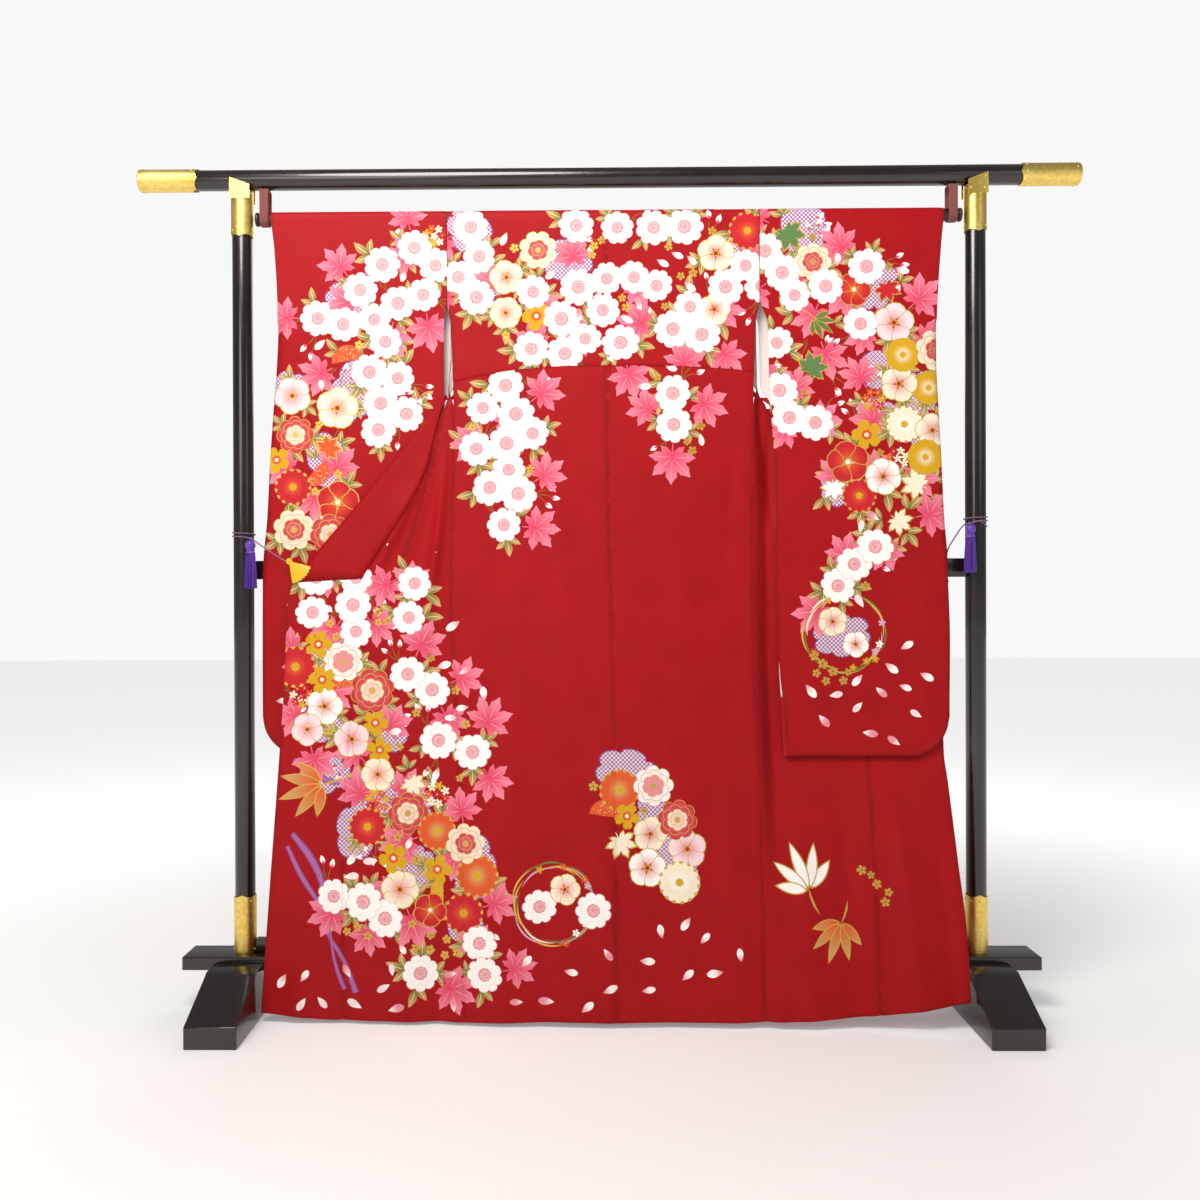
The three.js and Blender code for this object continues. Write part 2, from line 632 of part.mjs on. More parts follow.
// The collar: one band from front to front, round the neck and through both armpits.
// Each section gives its seam edge and its free edge, from the neck outwards.
const collarTable = {
  left: [
    { seamX: -78, seamY: 16.6, seamZ: 1616, freeX: -60, freeY: 17.4, freeZ: 1566 },
    { seamX: -118, seamY: 15.5, seamZ: 1560, freeX: -80, freeY: 15.6, freeZ: 1524 },
    { seamX: -209, seamY: 12.6, seamZ: 1434, freeX: -172, freeY: 12.8, freeZ: 1404 },
    { seamX: -284, seamY: 9, seamZ: 1326, freeX: -262, freeY: 9.6, freeZ: 1304 },
    { seamX: -313, seamY: 4.4, seamZ: 1266, freeX: -306, freeY: 7.5, freeZ: 1252 },
    { seamX: -327, seamY: -2, seamZ: 1247, freeX: -327.5, freeY: 6, freeZ: 1248 },
    { seamX: -330.5, seamY: -14, seamZ: 1245, freeX: -330.5, freeY: -10, freeZ: 1256 },
    { seamX: -334.9, seamY: -20.9, seamZ: 1236, freeX: -335.5, freeY: -21, freeZ: 1250 },
  ],
  right: [
    { seamX: 68, seamY: 16.6, seamZ: 1616, freeX: 50, freeY: 17.4, freeZ: 1566 },
    { seamX: 105, seamY: 15.6, seamZ: 1560, freeX: 68, freeY: 15.8, freeZ: 1524 },
    { seamX: 194, seamY: 13.2, seamZ: 1434, freeX: 158, freeY: 13.4, freeZ: 1404 },
    { seamX: 268, seamY: 11.4, seamZ: 1326, freeX: 247, freeY: 12, freeZ: 1304 },
    { seamX: 299, seamY: 10.4, seamZ: 1266, freeX: 293, freeY: 13, freeZ: 1254 },
    { seamX: 314, seamY: 8.6, seamZ: 1246, freeX: 313, freeY: 13, freeZ: 1250 },
    { seamX: 328.8, seamY: 5, seamZ: 1236, freeX: 330, freeY: 5.6, freeZ: 1249 },
  ],
};

const collarColumns = 3;
const collarSlant = 0.45;

function collarRow(seam, free) {
  const row = [];
  for (let c = 0; c <= collarColumns; c += 1) row.push(seam.clone().lerp(free, c / collarColumns));
  return row;
}

// The collar on the opened front lies between its seam and the slanting free edge
function collarWingRows(side, sign) {
  const table = wingTable[side];
  const rows = [];
  for (const height of [1200, 1160, 1115, 1068, 1005, 946, 900, collarEndZ + 1]) {
    const seamX = fromTable(table, 'z', 'collarX', height) + sign * seamHalfGap;
    const slant = collarSlant * Math.abs(fromTable(table, 'z', 'edgeX', height) - seamX);
    const freeZ = height > collarEndZ + 1 ? height + slant : height - 7;
    const freeX = fromTable(table, 'z', 'edgeX', freeZ);
    const row = [];
    for (let c = 0; c <= collarColumns; c += 1) {
      const x = lerp(seamX, freeX, c / collarColumns);
      const z = lerp(height, freeZ, c / collarColumns);
      row.push(new THREE.Vector3(x, wingY(side, x, z), z));
    }
    rows.push(row);
  }
  return rows;
}

function addCollar() {
  const halves = ['left', 'right'].map((side) => {
    const sign = side === 'left' ? -1 : 1;
    const near = collarTable[side].map((section) => collarRow(
      new THREE.Vector3(section.seamX, section.seamY, section.seamZ),
      new THREE.Vector3(section.freeX, section.freeY, section.freeZ),
    ));
    return [...near, ...collarWingRows(side, sign)];
  });
  const middle = collarRow(new THREE.Vector3(-5, 16.6, 1619), new THREE.Vector3(-5, 18, 1566));
  addMesh('collar', clothWall([...halves[0].reverse(), middle, ...halves[1]]), colours.collar);
}

// The sleeves: bags open along the body side and at the cuff, with a rounded outer corner

const sleeve = {
  width: 345, bottom: 520, cornerRadius: 80, cuffZ: 1403, turnZ: 880, closedWidth: 5.2, closing: 30,
};
const cuffShares = [0.9, 1.03];

const sleeveTable = {
  left: [
    { z: 1634, innerX: -328.2, outerX: -691, nearY: -15, farY: 15 },
    { z: 1553, innerX: -328.2, outerX: -681, nearY: -15, farY: 13.5 },
    { z: 1448, innerX: -328.2, outerX: -675.5, nearY: -15, farY: 11 },
    { z: 1405, innerX: -334, outerX: -675, nearY: -15.2, farY: 9.5 },
    { z: 1317, innerX: -334.5, outerX: -678, nearY: -15.8, farY: 6 },
    { z: 1236, innerX: -334.5, outerX: -684, nearY: -17, farY: 2 },
    { z: 1123, innerX: -335, outerX: -691, nearY: -20, farY: -4 },
    { z: 1000, innerX: -336, outerX: -697, nearY: -22, farY: -9.5 },
    { z: 925, innerX: -337, outerX: -704, nearY: -23, farY: -12.2 },
    { z: 880, innerX: -338, outerX: -706, nearY: -23.4, farY: -12.4 },
    { z: 654, innerX: -340, outerX: -707, nearY: -24, farY: -12.6 },
    { z: 520, innerX: -341, outerX: -706, nearY: -24, farY: -13 },
  ],
  right: [
    { z: 1634, innerX: 309.4, outerX: 685, nearY: -15, farY: 15 },
    { z: 1553, innerX: 309.4, outerX: 677, nearY: -15, farY: 13.5 },
    { z: 1448, innerX: 309.4, outerX: 670, nearY: -15.2, farY: 10.5 },
    { z: 1397, innerX: 325, outerX: 668, nearY: -15.5, farY: 8 },
    { z: 1317, innerX: 327, outerX: 668, nearY: -16.2, farY: 4.5 },
    { z: 1236, innerX: 329, outerX: 671, nearY: -17.5, farY: 1 },
    { z: 1123, innerX: 337, outerX: 676, nearY: -20.4, farY: -6.4 },
    { z: 1000, innerX: 340, outerX: 680, nearY: -24.4, farY: -13.2 },
    { z: 925, innerX: 340, outerX: 685, nearY: -27.6, farY: -16.6 },
    { z: 880, innerX: 340, outerX: 686, nearY: -28.6, farY: -17 },
    { z: 764, innerX: 342, outerX: 689, nearY: -31.4, farY: -19.8 },
    { z: 621, innerX: 348, outerX: 686, nearY: -38, farY: -26.4 },
    { z: 520, innerX: 352, outerX: 684, nearY: -46, farY: -36 },
  ],
};

const sleeveHeights = [1560, 1500, 1448, 1403, 1345, 1290, 1236, 1160, 1080, 1000, 940, sleeve.turnZ];

// A slot across the sleeve at a share of its width, drawn in from the outer skin by an inset
function sleeveRing(side, distance, inset) {
  const table = sleeveTable[side];
  const across = (z) => {
    const innerX = fromTable(table, 'z', 'innerX', z);
    const outerX = fromTable(table, 'z', 'outerX', z);
    return { x: lerp(innerX, outerX, distance), width: Math.abs(outerX - innerX) };
  };
  const width = across(sleeve.bottom).width;
  const radius = sleeve.cornerRadius - inset;
  const past = Math.min(radius, Math.max(0, distance * width - (width - sleeve.cornerRadius)));
  const bottom = sleeve.bottom + inset + radius - Math.sqrt(radius * radius - past * past);
  const pairs = [];
  for (let i = 0; i < rodSteps / 2; i += 1) {
    const angle = ((i + 0.5) / rodSteps) * Math.PI;
    const y = (innerDrape + clothThickness - inset) * Math.sin(angle);
    const z = rod.height + (innerDrape + clothThickness - inset) * Math.cos(angle);
    const { x } = across(z);
    pairs.push([new THREE.Vector3(x, -y, z), new THREE.Vector3(x, y, z)]);
  }
  const lower = [0.3, 0.55, 0.78, 0.92, 1].map((t) => lerp(sleeve.turnZ, bottom, t));
  for (const z of [...sleeveHeights, ...lower]) {
    const { x, width: here } = across(z);
    const near = fromTable(table, 'z', 'nearY', z);
    const far = fromTable(table, 'z', 'farY', z);
    const toEdge = (distance * here - here + sleeve.closing) / sleeve.closing;
    const byEdge = z < sleeve.cuffZ - 1 ? smooth(toEdge) : 0;
    const byBottom = smooth((bottom + sleeve.closing - z) / sleeve.closing);
    const half = lerp(far - near, sleeve.closedWidth, Math.max(byEdge, byBottom)) / 2 - inset;
    const middle = (near + far) / 2;
    pairs.push([new THREE.Vector3(x, middle - half, z), new THREE.Vector3(x, middle + half, z)]);
  }
  return pairs;
}

// Shares of the width where the slots stand, closest together round the corner
function sleeveShares(side, end) {
  const table = sleeveTable[side];
  const last = table[table.length - 1];
  const width = Math.abs(last.outerX - last.innerX);
  const shares = [0.3, 0.6];
  for (const angle of [0, 22.5, 45, 67.5]) {
    const past = sleeve.cornerRadius * Math.sin(THREE.MathUtils.degToRad(angle));
    shares.push((width - sleeve.cornerRadius + past) / width);
  }
  return [...shares.filter((share) => share < end - 0.01), end];
}

// A block from the viewer's side to the middle of the sleeve's bag, moved by a gap
function nearBlock(side, gap) {
  const table = sleeveTable[side];
  const between = table.map((row) => row.z).filter((z) => z < rod.height && z > sleeve.bottom);
  const levels = [rod.height + 2 * drapeRadius, rod.height, ...between, sleeve.bottom - seamHalfGap];
  const rings = [-0.05, 1.05].map((share) => levels.map((z) => {
    const x = lerp(fromTable(table, 'z', 'innerX', z), fromTable(table, 'z', 'outerX', z), share);
    const middle = (fromTable(table, 'z', 'nearY', z) + fromTable(table, 'z', 'farY', z)) / 2;
    return [new THREE.Vector3(x, middle - 4 * drapeRadius, z), new THREE.Vector3(x, middle + gap, z)];
  }));
  return toSolid(slotLoft(rings));
}

// Each sleeve is one length of cloth. Its solids part along the shoulder fold and the sewn edges.
function addSleeves() {
  for (const side of ['left', 'right']) {
    const outside = [0, ...sleeveShares(side, 1)].map((share) => sleeveRing(side, share, 0));
    const skin = toSolid(slotLoft(outside));
    const wallShare = clothThickness / sleeve.width;
    const shares = [-0.02, ...sleeveShares(side, 1 - wallShare)];
    const inside = toSolid(slotLoft(shares.map((share) => sleeveRing(side, share, clothThickness))));
    const cuffLevels = rodSteps / 2 + sleeveHeights.indexOf(sleeve.cuffZ) + 1;
    const cuff = toSolid(slotLoft(cuffShares.map(
      (share) => sleeveRing(side, share, clothThickness).slice(0, cuffLevels),
    )));
    const bag = skin.subtract(inside).subtract(cuff);
    const near = bag.intersect(nearBlock(side, -clearance / 2));
    const far = bag.subtract(nearBlock(side, clearance / 2));
    addMesh(`sleeve_${side}`, toGeometry(near), colours.red);
    addMesh(`sleeve_front_${side}`, toGeometry(far), colours.red);
  }
}

// The tied cords, their tassels and the fan clips that draw the fronts outwards

const cordRadius = 1.5;
const cordWrap = { turns: 1.5, drop: 11, count: 18, slack: 0.4 };

function tubeAlong(points, radius, sides, steps) {
  const shape = new THREE.Shape();
  for (let i = 0; i < sides; i += 1) {
    const angle = (i / sides) * Math.PI * 2;
    const corner = [radius * Math.cos(angle), radius * Math.sin(angle)];
    if (i === 0) shape.moveTo(...corner);
    else shape.lineTo(...corner);
  }
  const extrudePath = new THREE.CatmullRomCurve3(points, false, 'centripetal');
  return new THREE.ExtrudeGeometry(shape, { steps, extrudePath, bevelEnabled: false });
}

// Two turns round the post, then the points of the free stretch to the clip
const cordTable = {
  left: { topZ: 978, stretch: [[-726, -33, 962], [-700, -38, 945], [-672, -41.5, 927], [-653, -43, 915.5]] },
  right: {
    topZ: 1004,
    stretch: [[728, -32, 987], [716, -29, 983.5], [700, -19, 957], [688, -13.4, 930], [681.5, -13.6, 877]],
  },
};

function addCords() {
  for (const [side, sign] of [['left', -1], ['right', 1]]) {
    const { topZ, stretch } = cordTable[side];
    const { turns, drop, count, slack } = cordWrap;
    const radius = postRadius + clearance + cordRadius + slack;
    const points = [];
    for (let i = 0; i <= count; i += 1) {
      const angle = (i / count) * turns * 2 * Math.PI - Math.PI / 2 - turns * 2 * Math.PI;
      const x = -sign * radius * Math.cos(angle);
      points.push(new THREE.Vector3(sign * postX + x, radius * Math.sin(angle), topZ - (drop * i) / count));
    }
    for (const p of stretch) points.push(new THREE.Vector3(...p));
    addMesh(`tie_cord_${side}`, tubeAlong(points, cordRadius, 8, 48), colours.cord, 0.7);
  }
}

const tassel = { headRadius: 10, headLength: 26, neck: 8, length: 98, spread: 13, strandRadius: 0.9 };

const strandRings = [[0, 1], [1, 7], [2, 13], [3, 19]];

// Strands stand in rings; their roots are sunk in the head
function tasselGeometry() {
  const { headRadius, headLength, neck, length, spread, strandRadius } = tassel;
  const profile = [
    [0, 0], [headRadius * 0.55, -1], [headRadius, -6], [headRadius, -15], [neck, -17], [neck, -21],
    [headRadius, -headLength + 2], [headRadius, -headLength], [0, -headLength],
  ].map(([r, z]) => new THREE.Vector2(r, z)).reverse();
  let solid = toSolid(new THREE.LatheGeometry(profile, 20).rotateX(Math.PI / 2));
  for (const [ring, count] of strandRings) {
    for (let i = 0; i < count; i += 1) {
      const angle = (i / count) * 2 * Math.PI + ring;
      const top = (ring / 3) * (headRadius - 1.4);
      const bottom = (ring / 3) * spread;
      const strand = new THREE.CylinderGeometry(strandRadius, strandRadius, length - headLength + 2, 3);
      strand.rotateX(Math.PI / 2);
      const place = strand.attributes.position;
      for (let k = 0; k < place.count; k += 1) {
        const low = place.getZ(k) < 0;
        const out = low ? bottom : top;
        const z = low ? -length + 2 * (i % 2) : -headLength + 2;
        place.setXYZ(k, place.getX(k) + out * Math.cos(angle), place.getY(k) + out * Math.sin(angle), z);
      }
      solid = solid.add(toSolid(strand));
    }
  }
  return toGeometry(solid);
}

function addTassels() {
  const places = { left: [-727, -34, 960.4], right: [729, -33, 987.1] };
  for (const side of ['left', 'right']) {
    const [x, y, z] = places[side];
    const hung = tasselGeometry().translate(x, y, z - cordRadius - clearance);
    addMesh(`tassel_${side}`, hung, colours.tassel, 0.6);
  }
}

// A fan of pleats that grips the cloth edge between a near and a far leaf, joined at its pivot
const clipTable = {
  left: {
    x: -647, z: 916, radius: 46, from: -82, to: -14, grip: [-617, 884], near: 3, far: 1.6, clear: 1.2,
  },
  right: {
    x: 684, z: 871, radius: 34, from: 172, to: 232, grip: [664, 862], near: 1.2, far: 1.6, clear: 0.5,
  },
};

function fanShape(radius, from, to) {
  const pleats = 7;
  const shape = new THREE.Shape();
  const pivotRadius = 5;
  for (let i = 0; i <= pleats * 2; i += 1) {
    const angle = THREE.MathUtils.degToRad(lerp(from, to, i / (pleats * 2)));
    const rim = i % 2 === 0 ? radius - 2 : radius;
    const corner = [rim * Math.cos(angle), rim * Math.sin(angle)];
    if (i === 0) shape.moveTo(...corner);
    else shape.lineTo(...corner);
  }
  const middle = THREE.MathUtils.degToRad((from + to) / 2);
  shape.absarc(0, 0, pivotRadius, middle + Math.PI / 2, middle + 1.5 * Math.PI, false);
  return shape;
}

function addClips() {
  for (const side of ['left', 'right']) {
    const clip = clipTable[side];
    const gripY = wingY(side, clip.grip[0], clip.grip[1]);
    const nearY = gripY - clothThickness / 2 - clip.clear - clip.near;
    const farY = gripY + clothThickness / 2 + clip.clear;
    const near = extrudeAlongY(fanShape(clip.radius, clip.from, clip.to), nearY, clip.near);
    const far = extrudeAlongY(fanShape(clip.radius * 0.7, clip.from, clip.to), farY, clip.far);
    const pin = cylinderZ(3.5, nearY + 0.5, farY + clip.far - 0.5, 16).rotateX(-Math.PI / 2);
    const solid = toSolid(near).add(toSolid(far)).add(toSolid(pin));
    addMesh(`fan_clip_${side}`, toGeometry(solid).translate(clip.x, 0, clip.z), colours.clip, 0.5);
  }
}

addStand();
addFittings();
addRod();
addBodies();
addOverlaps();
addCollar();
addSleeves();
addCords();
addTassels();
addClips();

export default group;
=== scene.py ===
import math
import random

import bmesh
import bpy
import numpy as np
from mathutils import Matrix, Vector
from mathutils.geometry import delaunay_2d_cdt


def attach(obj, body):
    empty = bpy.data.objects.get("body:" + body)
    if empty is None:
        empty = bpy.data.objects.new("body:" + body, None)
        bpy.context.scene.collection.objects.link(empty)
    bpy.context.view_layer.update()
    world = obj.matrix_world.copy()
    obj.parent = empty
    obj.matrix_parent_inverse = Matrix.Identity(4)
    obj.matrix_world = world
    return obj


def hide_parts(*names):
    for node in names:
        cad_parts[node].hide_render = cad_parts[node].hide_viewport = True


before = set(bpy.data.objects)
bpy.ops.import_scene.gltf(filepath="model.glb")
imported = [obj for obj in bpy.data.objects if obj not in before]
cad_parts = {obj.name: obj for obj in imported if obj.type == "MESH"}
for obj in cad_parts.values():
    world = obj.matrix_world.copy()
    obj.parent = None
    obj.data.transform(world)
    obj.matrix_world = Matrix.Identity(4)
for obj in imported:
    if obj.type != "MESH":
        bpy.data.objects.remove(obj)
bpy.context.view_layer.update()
scene = bpy.context.scene
mm = 0.001  # shapes are in millimetres; lamps, the floor and the textures are in metres
print("frame loaded:", len(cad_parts), "solids")


def linear(hexColour):
    parts = [int(hexColour[i:i + 2], 16) / 255 for i in (1, 3, 5)]
    return [p / 12.92 if p <= 0.04045 else ((p + 0.055) / 1.055) ** 2.4 for p in parts] + [1.0]


def smooth(t):
    t = np.clip(t, 0, 1)
    return t * t * (3 - 2 * t)


# a socket as a value is linked, anything else is set
def setInputs(tree, node, inputs):
    for name, value in inputs.items():
        if isinstance(value, bpy.types.NodeSocket):
            tree.links.new(value, node.inputs[name])
        else:
            node.inputs[name].default_value = value


def addNode(tree, kind, inputs=None, **settings):
    node = tree.nodes.new(kind)
    for name, value in settings.items():
        setattr(node, name, value)
    setInputs(tree, node, inputs or {})
    return node


# camera, floor and light

view = {
    "place": (-53.8, -2447.9, 838.7),
    "yaw": 0.0122,  # radians, as pitch and roll
    "pitch": -0.0039,
    "roll": -0.0034,
    "lens": 35.79,
    "sensor": 36,
    "shift": (0.02686, 0.00257),
}


def makeCamera():
    data = bpy.data.cameras.new("viewCamera")
    data.sensor_width = view["sensor"]
    data.lens = view["lens"]
    data.shift_x, data.shift_y = view["shift"]
    data.clip_end = 50
    camera = bpy.data.objects.new("viewCamera", data)
    yaw, pitch, roll = view["yaw"], view["pitch"], view["roll"]
    ahead = Vector((-math.sin(yaw) * math.cos(pitch), math.cos(yaw) * math.cos(pitch), math.sin(pitch)))
    right = Vector((math.cos(yaw), math.sin(yaw), 0))
    up = right.cross(ahead)
    tiltedRight = right * math.cos(roll) + up * math.sin(roll)
    tiltedUp = up * math.cos(roll) - right * math.sin(roll)
    turn = Matrix((tiltedRight, tiltedUp, -ahead)).transposed().to_4x4()
    camera.matrix_world = Matrix.Translation(Vector(view["place"]) * mm) @ turn
    scene.collection.objects.link(camera)
    scene.camera = camera


lamps = [  # name, place, aimed at, width, power in watts, colour
    ("ceilingLamp", (-0.7, -1.55, 2.95), (0, 0, 1.5), 1.3, 60, "#FFFDFA"),
    ("frontFill", (-1.7, -3.3, 2.1), (0, 0, 1.1), 1.6, 22, "#FFFBF7"),
    ("sideFill", (2.5, -2.2, 2.0), (0, 0, 1.1), 1.4, 5, "#F8FBFF"),
    ("backLamp", (0.4, 2.6, 2.8), (0, 0, 1.0), 2.4, 24, "#FFFFFF"),
]
room = {"colour": "#FFFFFF", "light": 0.24, "seen": 0.94}  # its light, and how bright it looks
floorLook = {
    "colour": "#F4F3F1",
    "roughness": 0.7,
    "halfSize": 14,
    "glowStart": 0.4,  # painted light: the floor glows, faintly near the stand and more far off, where it goes over into the white of the room
    "glowEnd": 2.9,
    "nearGlow": 0.16,
    "farGlow": 0.63,
}


def makeLights():
    for name, place, aim, width, power, colour in lamps:
        data = bpy.data.lights.new(name, "AREA")
        data.shape = "DISK"
        data.size = width
        data.energy = power
        data.color = linear(colour)[:3]
        lamp = bpy.data.objects.new(name, data)
        lamp.location = place
        lamp.rotation_euler = (Vector(aim) - Vector(place)).to_track_quat("-Z", "Y").to_euler()
        scene.collection.objects.link(lamp)
    world = bpy.data.worlds.new("studioWorld")
    world.use_nodes = True
    tree = world.node_tree
    path = addNode(tree, "ShaderNodeLightPath")
    level = addNode(tree, "ShaderNodeMapRange", {
        "Value": path.outputs["Is Camera Ray"], "To Min": room["light"], "To Max": room["seen"],
    })
    tree.nodes["Background"].inputs["Color"].default_value = linear(room["colour"])
    tree.links.new(level.outputs["Result"], tree.nodes["Background"].inputs["Strength"])
    scene.world = world
    scene.view_settings.view_transform = "Standard"


def startMaterial(name, colour):
    material = bpy.data.materials.new(name)
    material.use_nodes = True
    material.diffuse_color = linear(colour)
    tree = material.node_tree
    return material, tree, tree.nodes["Principled BSDF"]


def makeFloor():
    floorMesh = bpy.data.meshes.new("studioFloor")
    bm = bmesh.new()
    bmesh.ops.create_grid(bm, x_segments=2, y_segments=2, size=floorLook["halfSize"])
    bm.to_mesh(floorMesh)
    bm.free()
    floor = bpy.data.objects.new("studioFloor", floorMesh)
    scene.collection.objects.link(floor)
    material, tree, surface = startMaterial("paleFloor", floorLook["colour"])
    place = addNode(tree, "ShaderNodeTexCoord")
    away = addNode(tree, "ShaderNodeVectorMath", {0: place.outputs["Object"]}, operation="LENGTH")
    # painted light: the floor's glow, growing with distance from the middle
    glow = addNode(tree, "ShaderNodeMapRange", {
        "Value": away.outputs["Value"], "From Min": floorLook["glowStart"], "From Max": floorLook["glowEnd"],
        "To Min": floorLook["nearGlow"], "To Max": floorLook["farGlow"],
    }, interpolation_type="SMOOTHSTEP")
    setInputs(tree, surface, {
        "Base Color": linear(floorLook["colour"]), "Roughness": floorLook["roughness"],
        "Emission Color": linear(room["colour"]), "Emission Strength": glow.outputs["Result"],
    })
    floorMesh.materials.append(material)


makeCamera()
makeLights()
makeFloor()
print("camera, lights and floor made")


# materials

silkLook = {
    "ground": "#A50B12",
    "deepGround": "#A10A11",  # the figure woven into the ground, one shade deeper
    # the lining's off-white, partly painted shade: kept a little dark and pink, as it shows mostly in shaded
    # openings
    "lining": "#EDE1DC",
    "hemLining": "#B41A22",
    "liningChange": 640,  # height where the white lining meets the red one
    "crepeGrain": 2.6,  # the real grain is 0.5 mm: drawn coarser, so that it shows
    "roughness": 0.58,
    "goldRoughness": 0.34,
    "dotPitch": 6.0,  # tie-dyed dots, in rows set at 45 degrees
    "dotRings": [(0.10, "#8F4F96"), (0.17, "#F6ECF4"), (0.36, "#F0DDE8"), (0.44, "#95507F")],
}


# silk crepe, resist-dyed by hand: a fine pebbled grain and a low soft sheen, with gold paste lines
def makePrintedSilk():
    material, tree, surface = startMaterial("dyedSilkCrepe", silkLook["ground"])
    place = addNode(tree, "ShaderNodeTexCoord")
    flat = addNode(tree, "ShaderNodeUVMap", uv_map="cut")
    dye = addNode(tree, "ShaderNodeAttribute", attribute_name="dye")
    finish = addNode(tree, "ShaderNodeAttribute", attribute_name="finish")
    split = addNode(tree, "ShaderNodeSeparateColor", {"Color": finish.outputs["Color"]})
    turned = addNode(tree, "ShaderNodeMapping", {
        "Vector": flat.outputs["UV"],
        "Rotation": (0, 0, math.radians(45)),
        "Scale": [1 / (silkLook["dotPitch"] * mm)] * 3,
    })
    cell = addNode(tree, "ShaderNodeVectorMath", {0: turned.outputs["Vector"]}, operation="FRACTION")
    off = addNode(tree, "ShaderNodeVectorMath", {0: cell.outputs["Vector"], 1: (0.5, 0.5, 0)},
                  operation="SUBTRACT")
    away = addNode(tree, "ShaderNodeVectorMath", {0: off.outputs["Vector"]}, operation="LENGTH")
    ring = addNode(tree, "ShaderNodeValToRGB", {"Fac": away.outputs["Value"]})
    stops = ring.color_ramp.elements
    for k, (distance, shade) in enumerate(silkLook["dotRings"]):
        stop = stops[k] if k < 2 else stops.new(distance)
        stop.position = distance
        stop.color = linear(shade)
    dotted = addNode(tree, "ShaderNodeMix", {
        "Factor": split.outputs["Red"],  # red marks the dotted patches
        "A": dye.outputs["Color"], "B": ring.outputs["Color"],
    }, data_type="RGBA")
    grain = addNode(tree, "ShaderNodeTexNoise", {
        "Vector": place.outputs["Object"], "Scale": 1 / (silkLook["crepeGrain"] * mm), "Detail": 3.0,
    })
    slow = addNode(tree, "ShaderNodeTexNoise", {
        "Vector": place.outputs["Object"], "Scale": 7.0, "Detail": 2.0,
    })
    shade = addNode(tree, "ShaderNodeMapRange", {
        "Value": grain.outputs["Fac"], "From Min": 0.3, "From Max": 0.7, "To Min": 0.93, "To Max": 1.05,
    })
    drift = addNode(tree, "ShaderNodeMapRange", {
        "Value": slow.outputs["Fac"], "From Min": 0.3, "From Max": 0.7, "To Min": 0.96, "To Max": 1.03,
    })
    both = addNode(tree, "ShaderNodeMath", {0: shade.outputs["Result"], 1: drift.outputs["Result"]},
                   operation="MULTIPLY")
    colour = addNode(tree, "ShaderNodeVectorMath", {
        0: dotted.outputs["Result"], "Scale": both.outputs["Value"],
    }, operation="SCALE")
    bump = addNode(tree, "ShaderNodeBump", {
        "Height": grain.outputs["Fac"], "Strength": 0.22, "Distance": 0.0006,
    })
    rough = addNode(tree, "ShaderNodeMapRange", {  # green marks the gold paste
        "Value": split.outputs["Green"], "To Min": silkLook["roughness"], "To Max": silkLook["goldRoughness"],
    })
    foil = addNode(tree, "ShaderNodeMath", {0: split.outputs["Green"], 1: 0.75}, operation="MULTIPLY")
    setInputs(tree, surface, {
        "Base Color": colour.outputs["Vector"], "Normal": bump.outputs["Normal"],
        "Roughness": rough.outputs["Result"], "Metallic": foil.outputs["Value"],
        "Specular IOR Level": 0.16, "Sheen Weight": 0.02,
    })
    return material


# plain-weave silk lining: white above, the ground's red along the hem, matt and smooth
def makeLiningSilk():
    material, tree, surface = startMaterial("plainWeaveLining", silkLook["lining"])
    place = addNode(tree, "ShaderNodeTexCoord")
    height = addNode(tree, "ShaderNodeSeparateXYZ", {"Vector": place.outputs["Object"]})
    weave = addNode(tree, "ShaderNodeTexNoise", {  # threads drawn about 2.4 mm wide, so that they show
        "Vector": place.outputs["Object"], "Scale": 420.0,
    })
    change = silkLook["liningChange"] * mm
    share = addNode(tree, "ShaderNodeMapRange", {
        "Value": height.outputs["Z"], "From Min": change - 0.004, "From Max": change + 0.004,
    })
    colour = addNode(tree, "ShaderNodeMix", {
        "Factor": share.outputs["Result"],
        "A": linear(silkLook["hemLining"]), "B": linear(silkLook["lining"]),
    }, data_type="RGBA")
    bump = addNode(tree, "ShaderNodeBump", {
        "Height": weave.outputs["Fac"], "Strength": 0.15, "Distance": 0.0004,
    })
    setInputs(tree, surface, {
        "Base Color": colour.outputs["Result"], "Normal": bump.outputs["Normal"],
        "Roughness": 0.62, "Specular IOR Level": 0.2,
    })
    return material


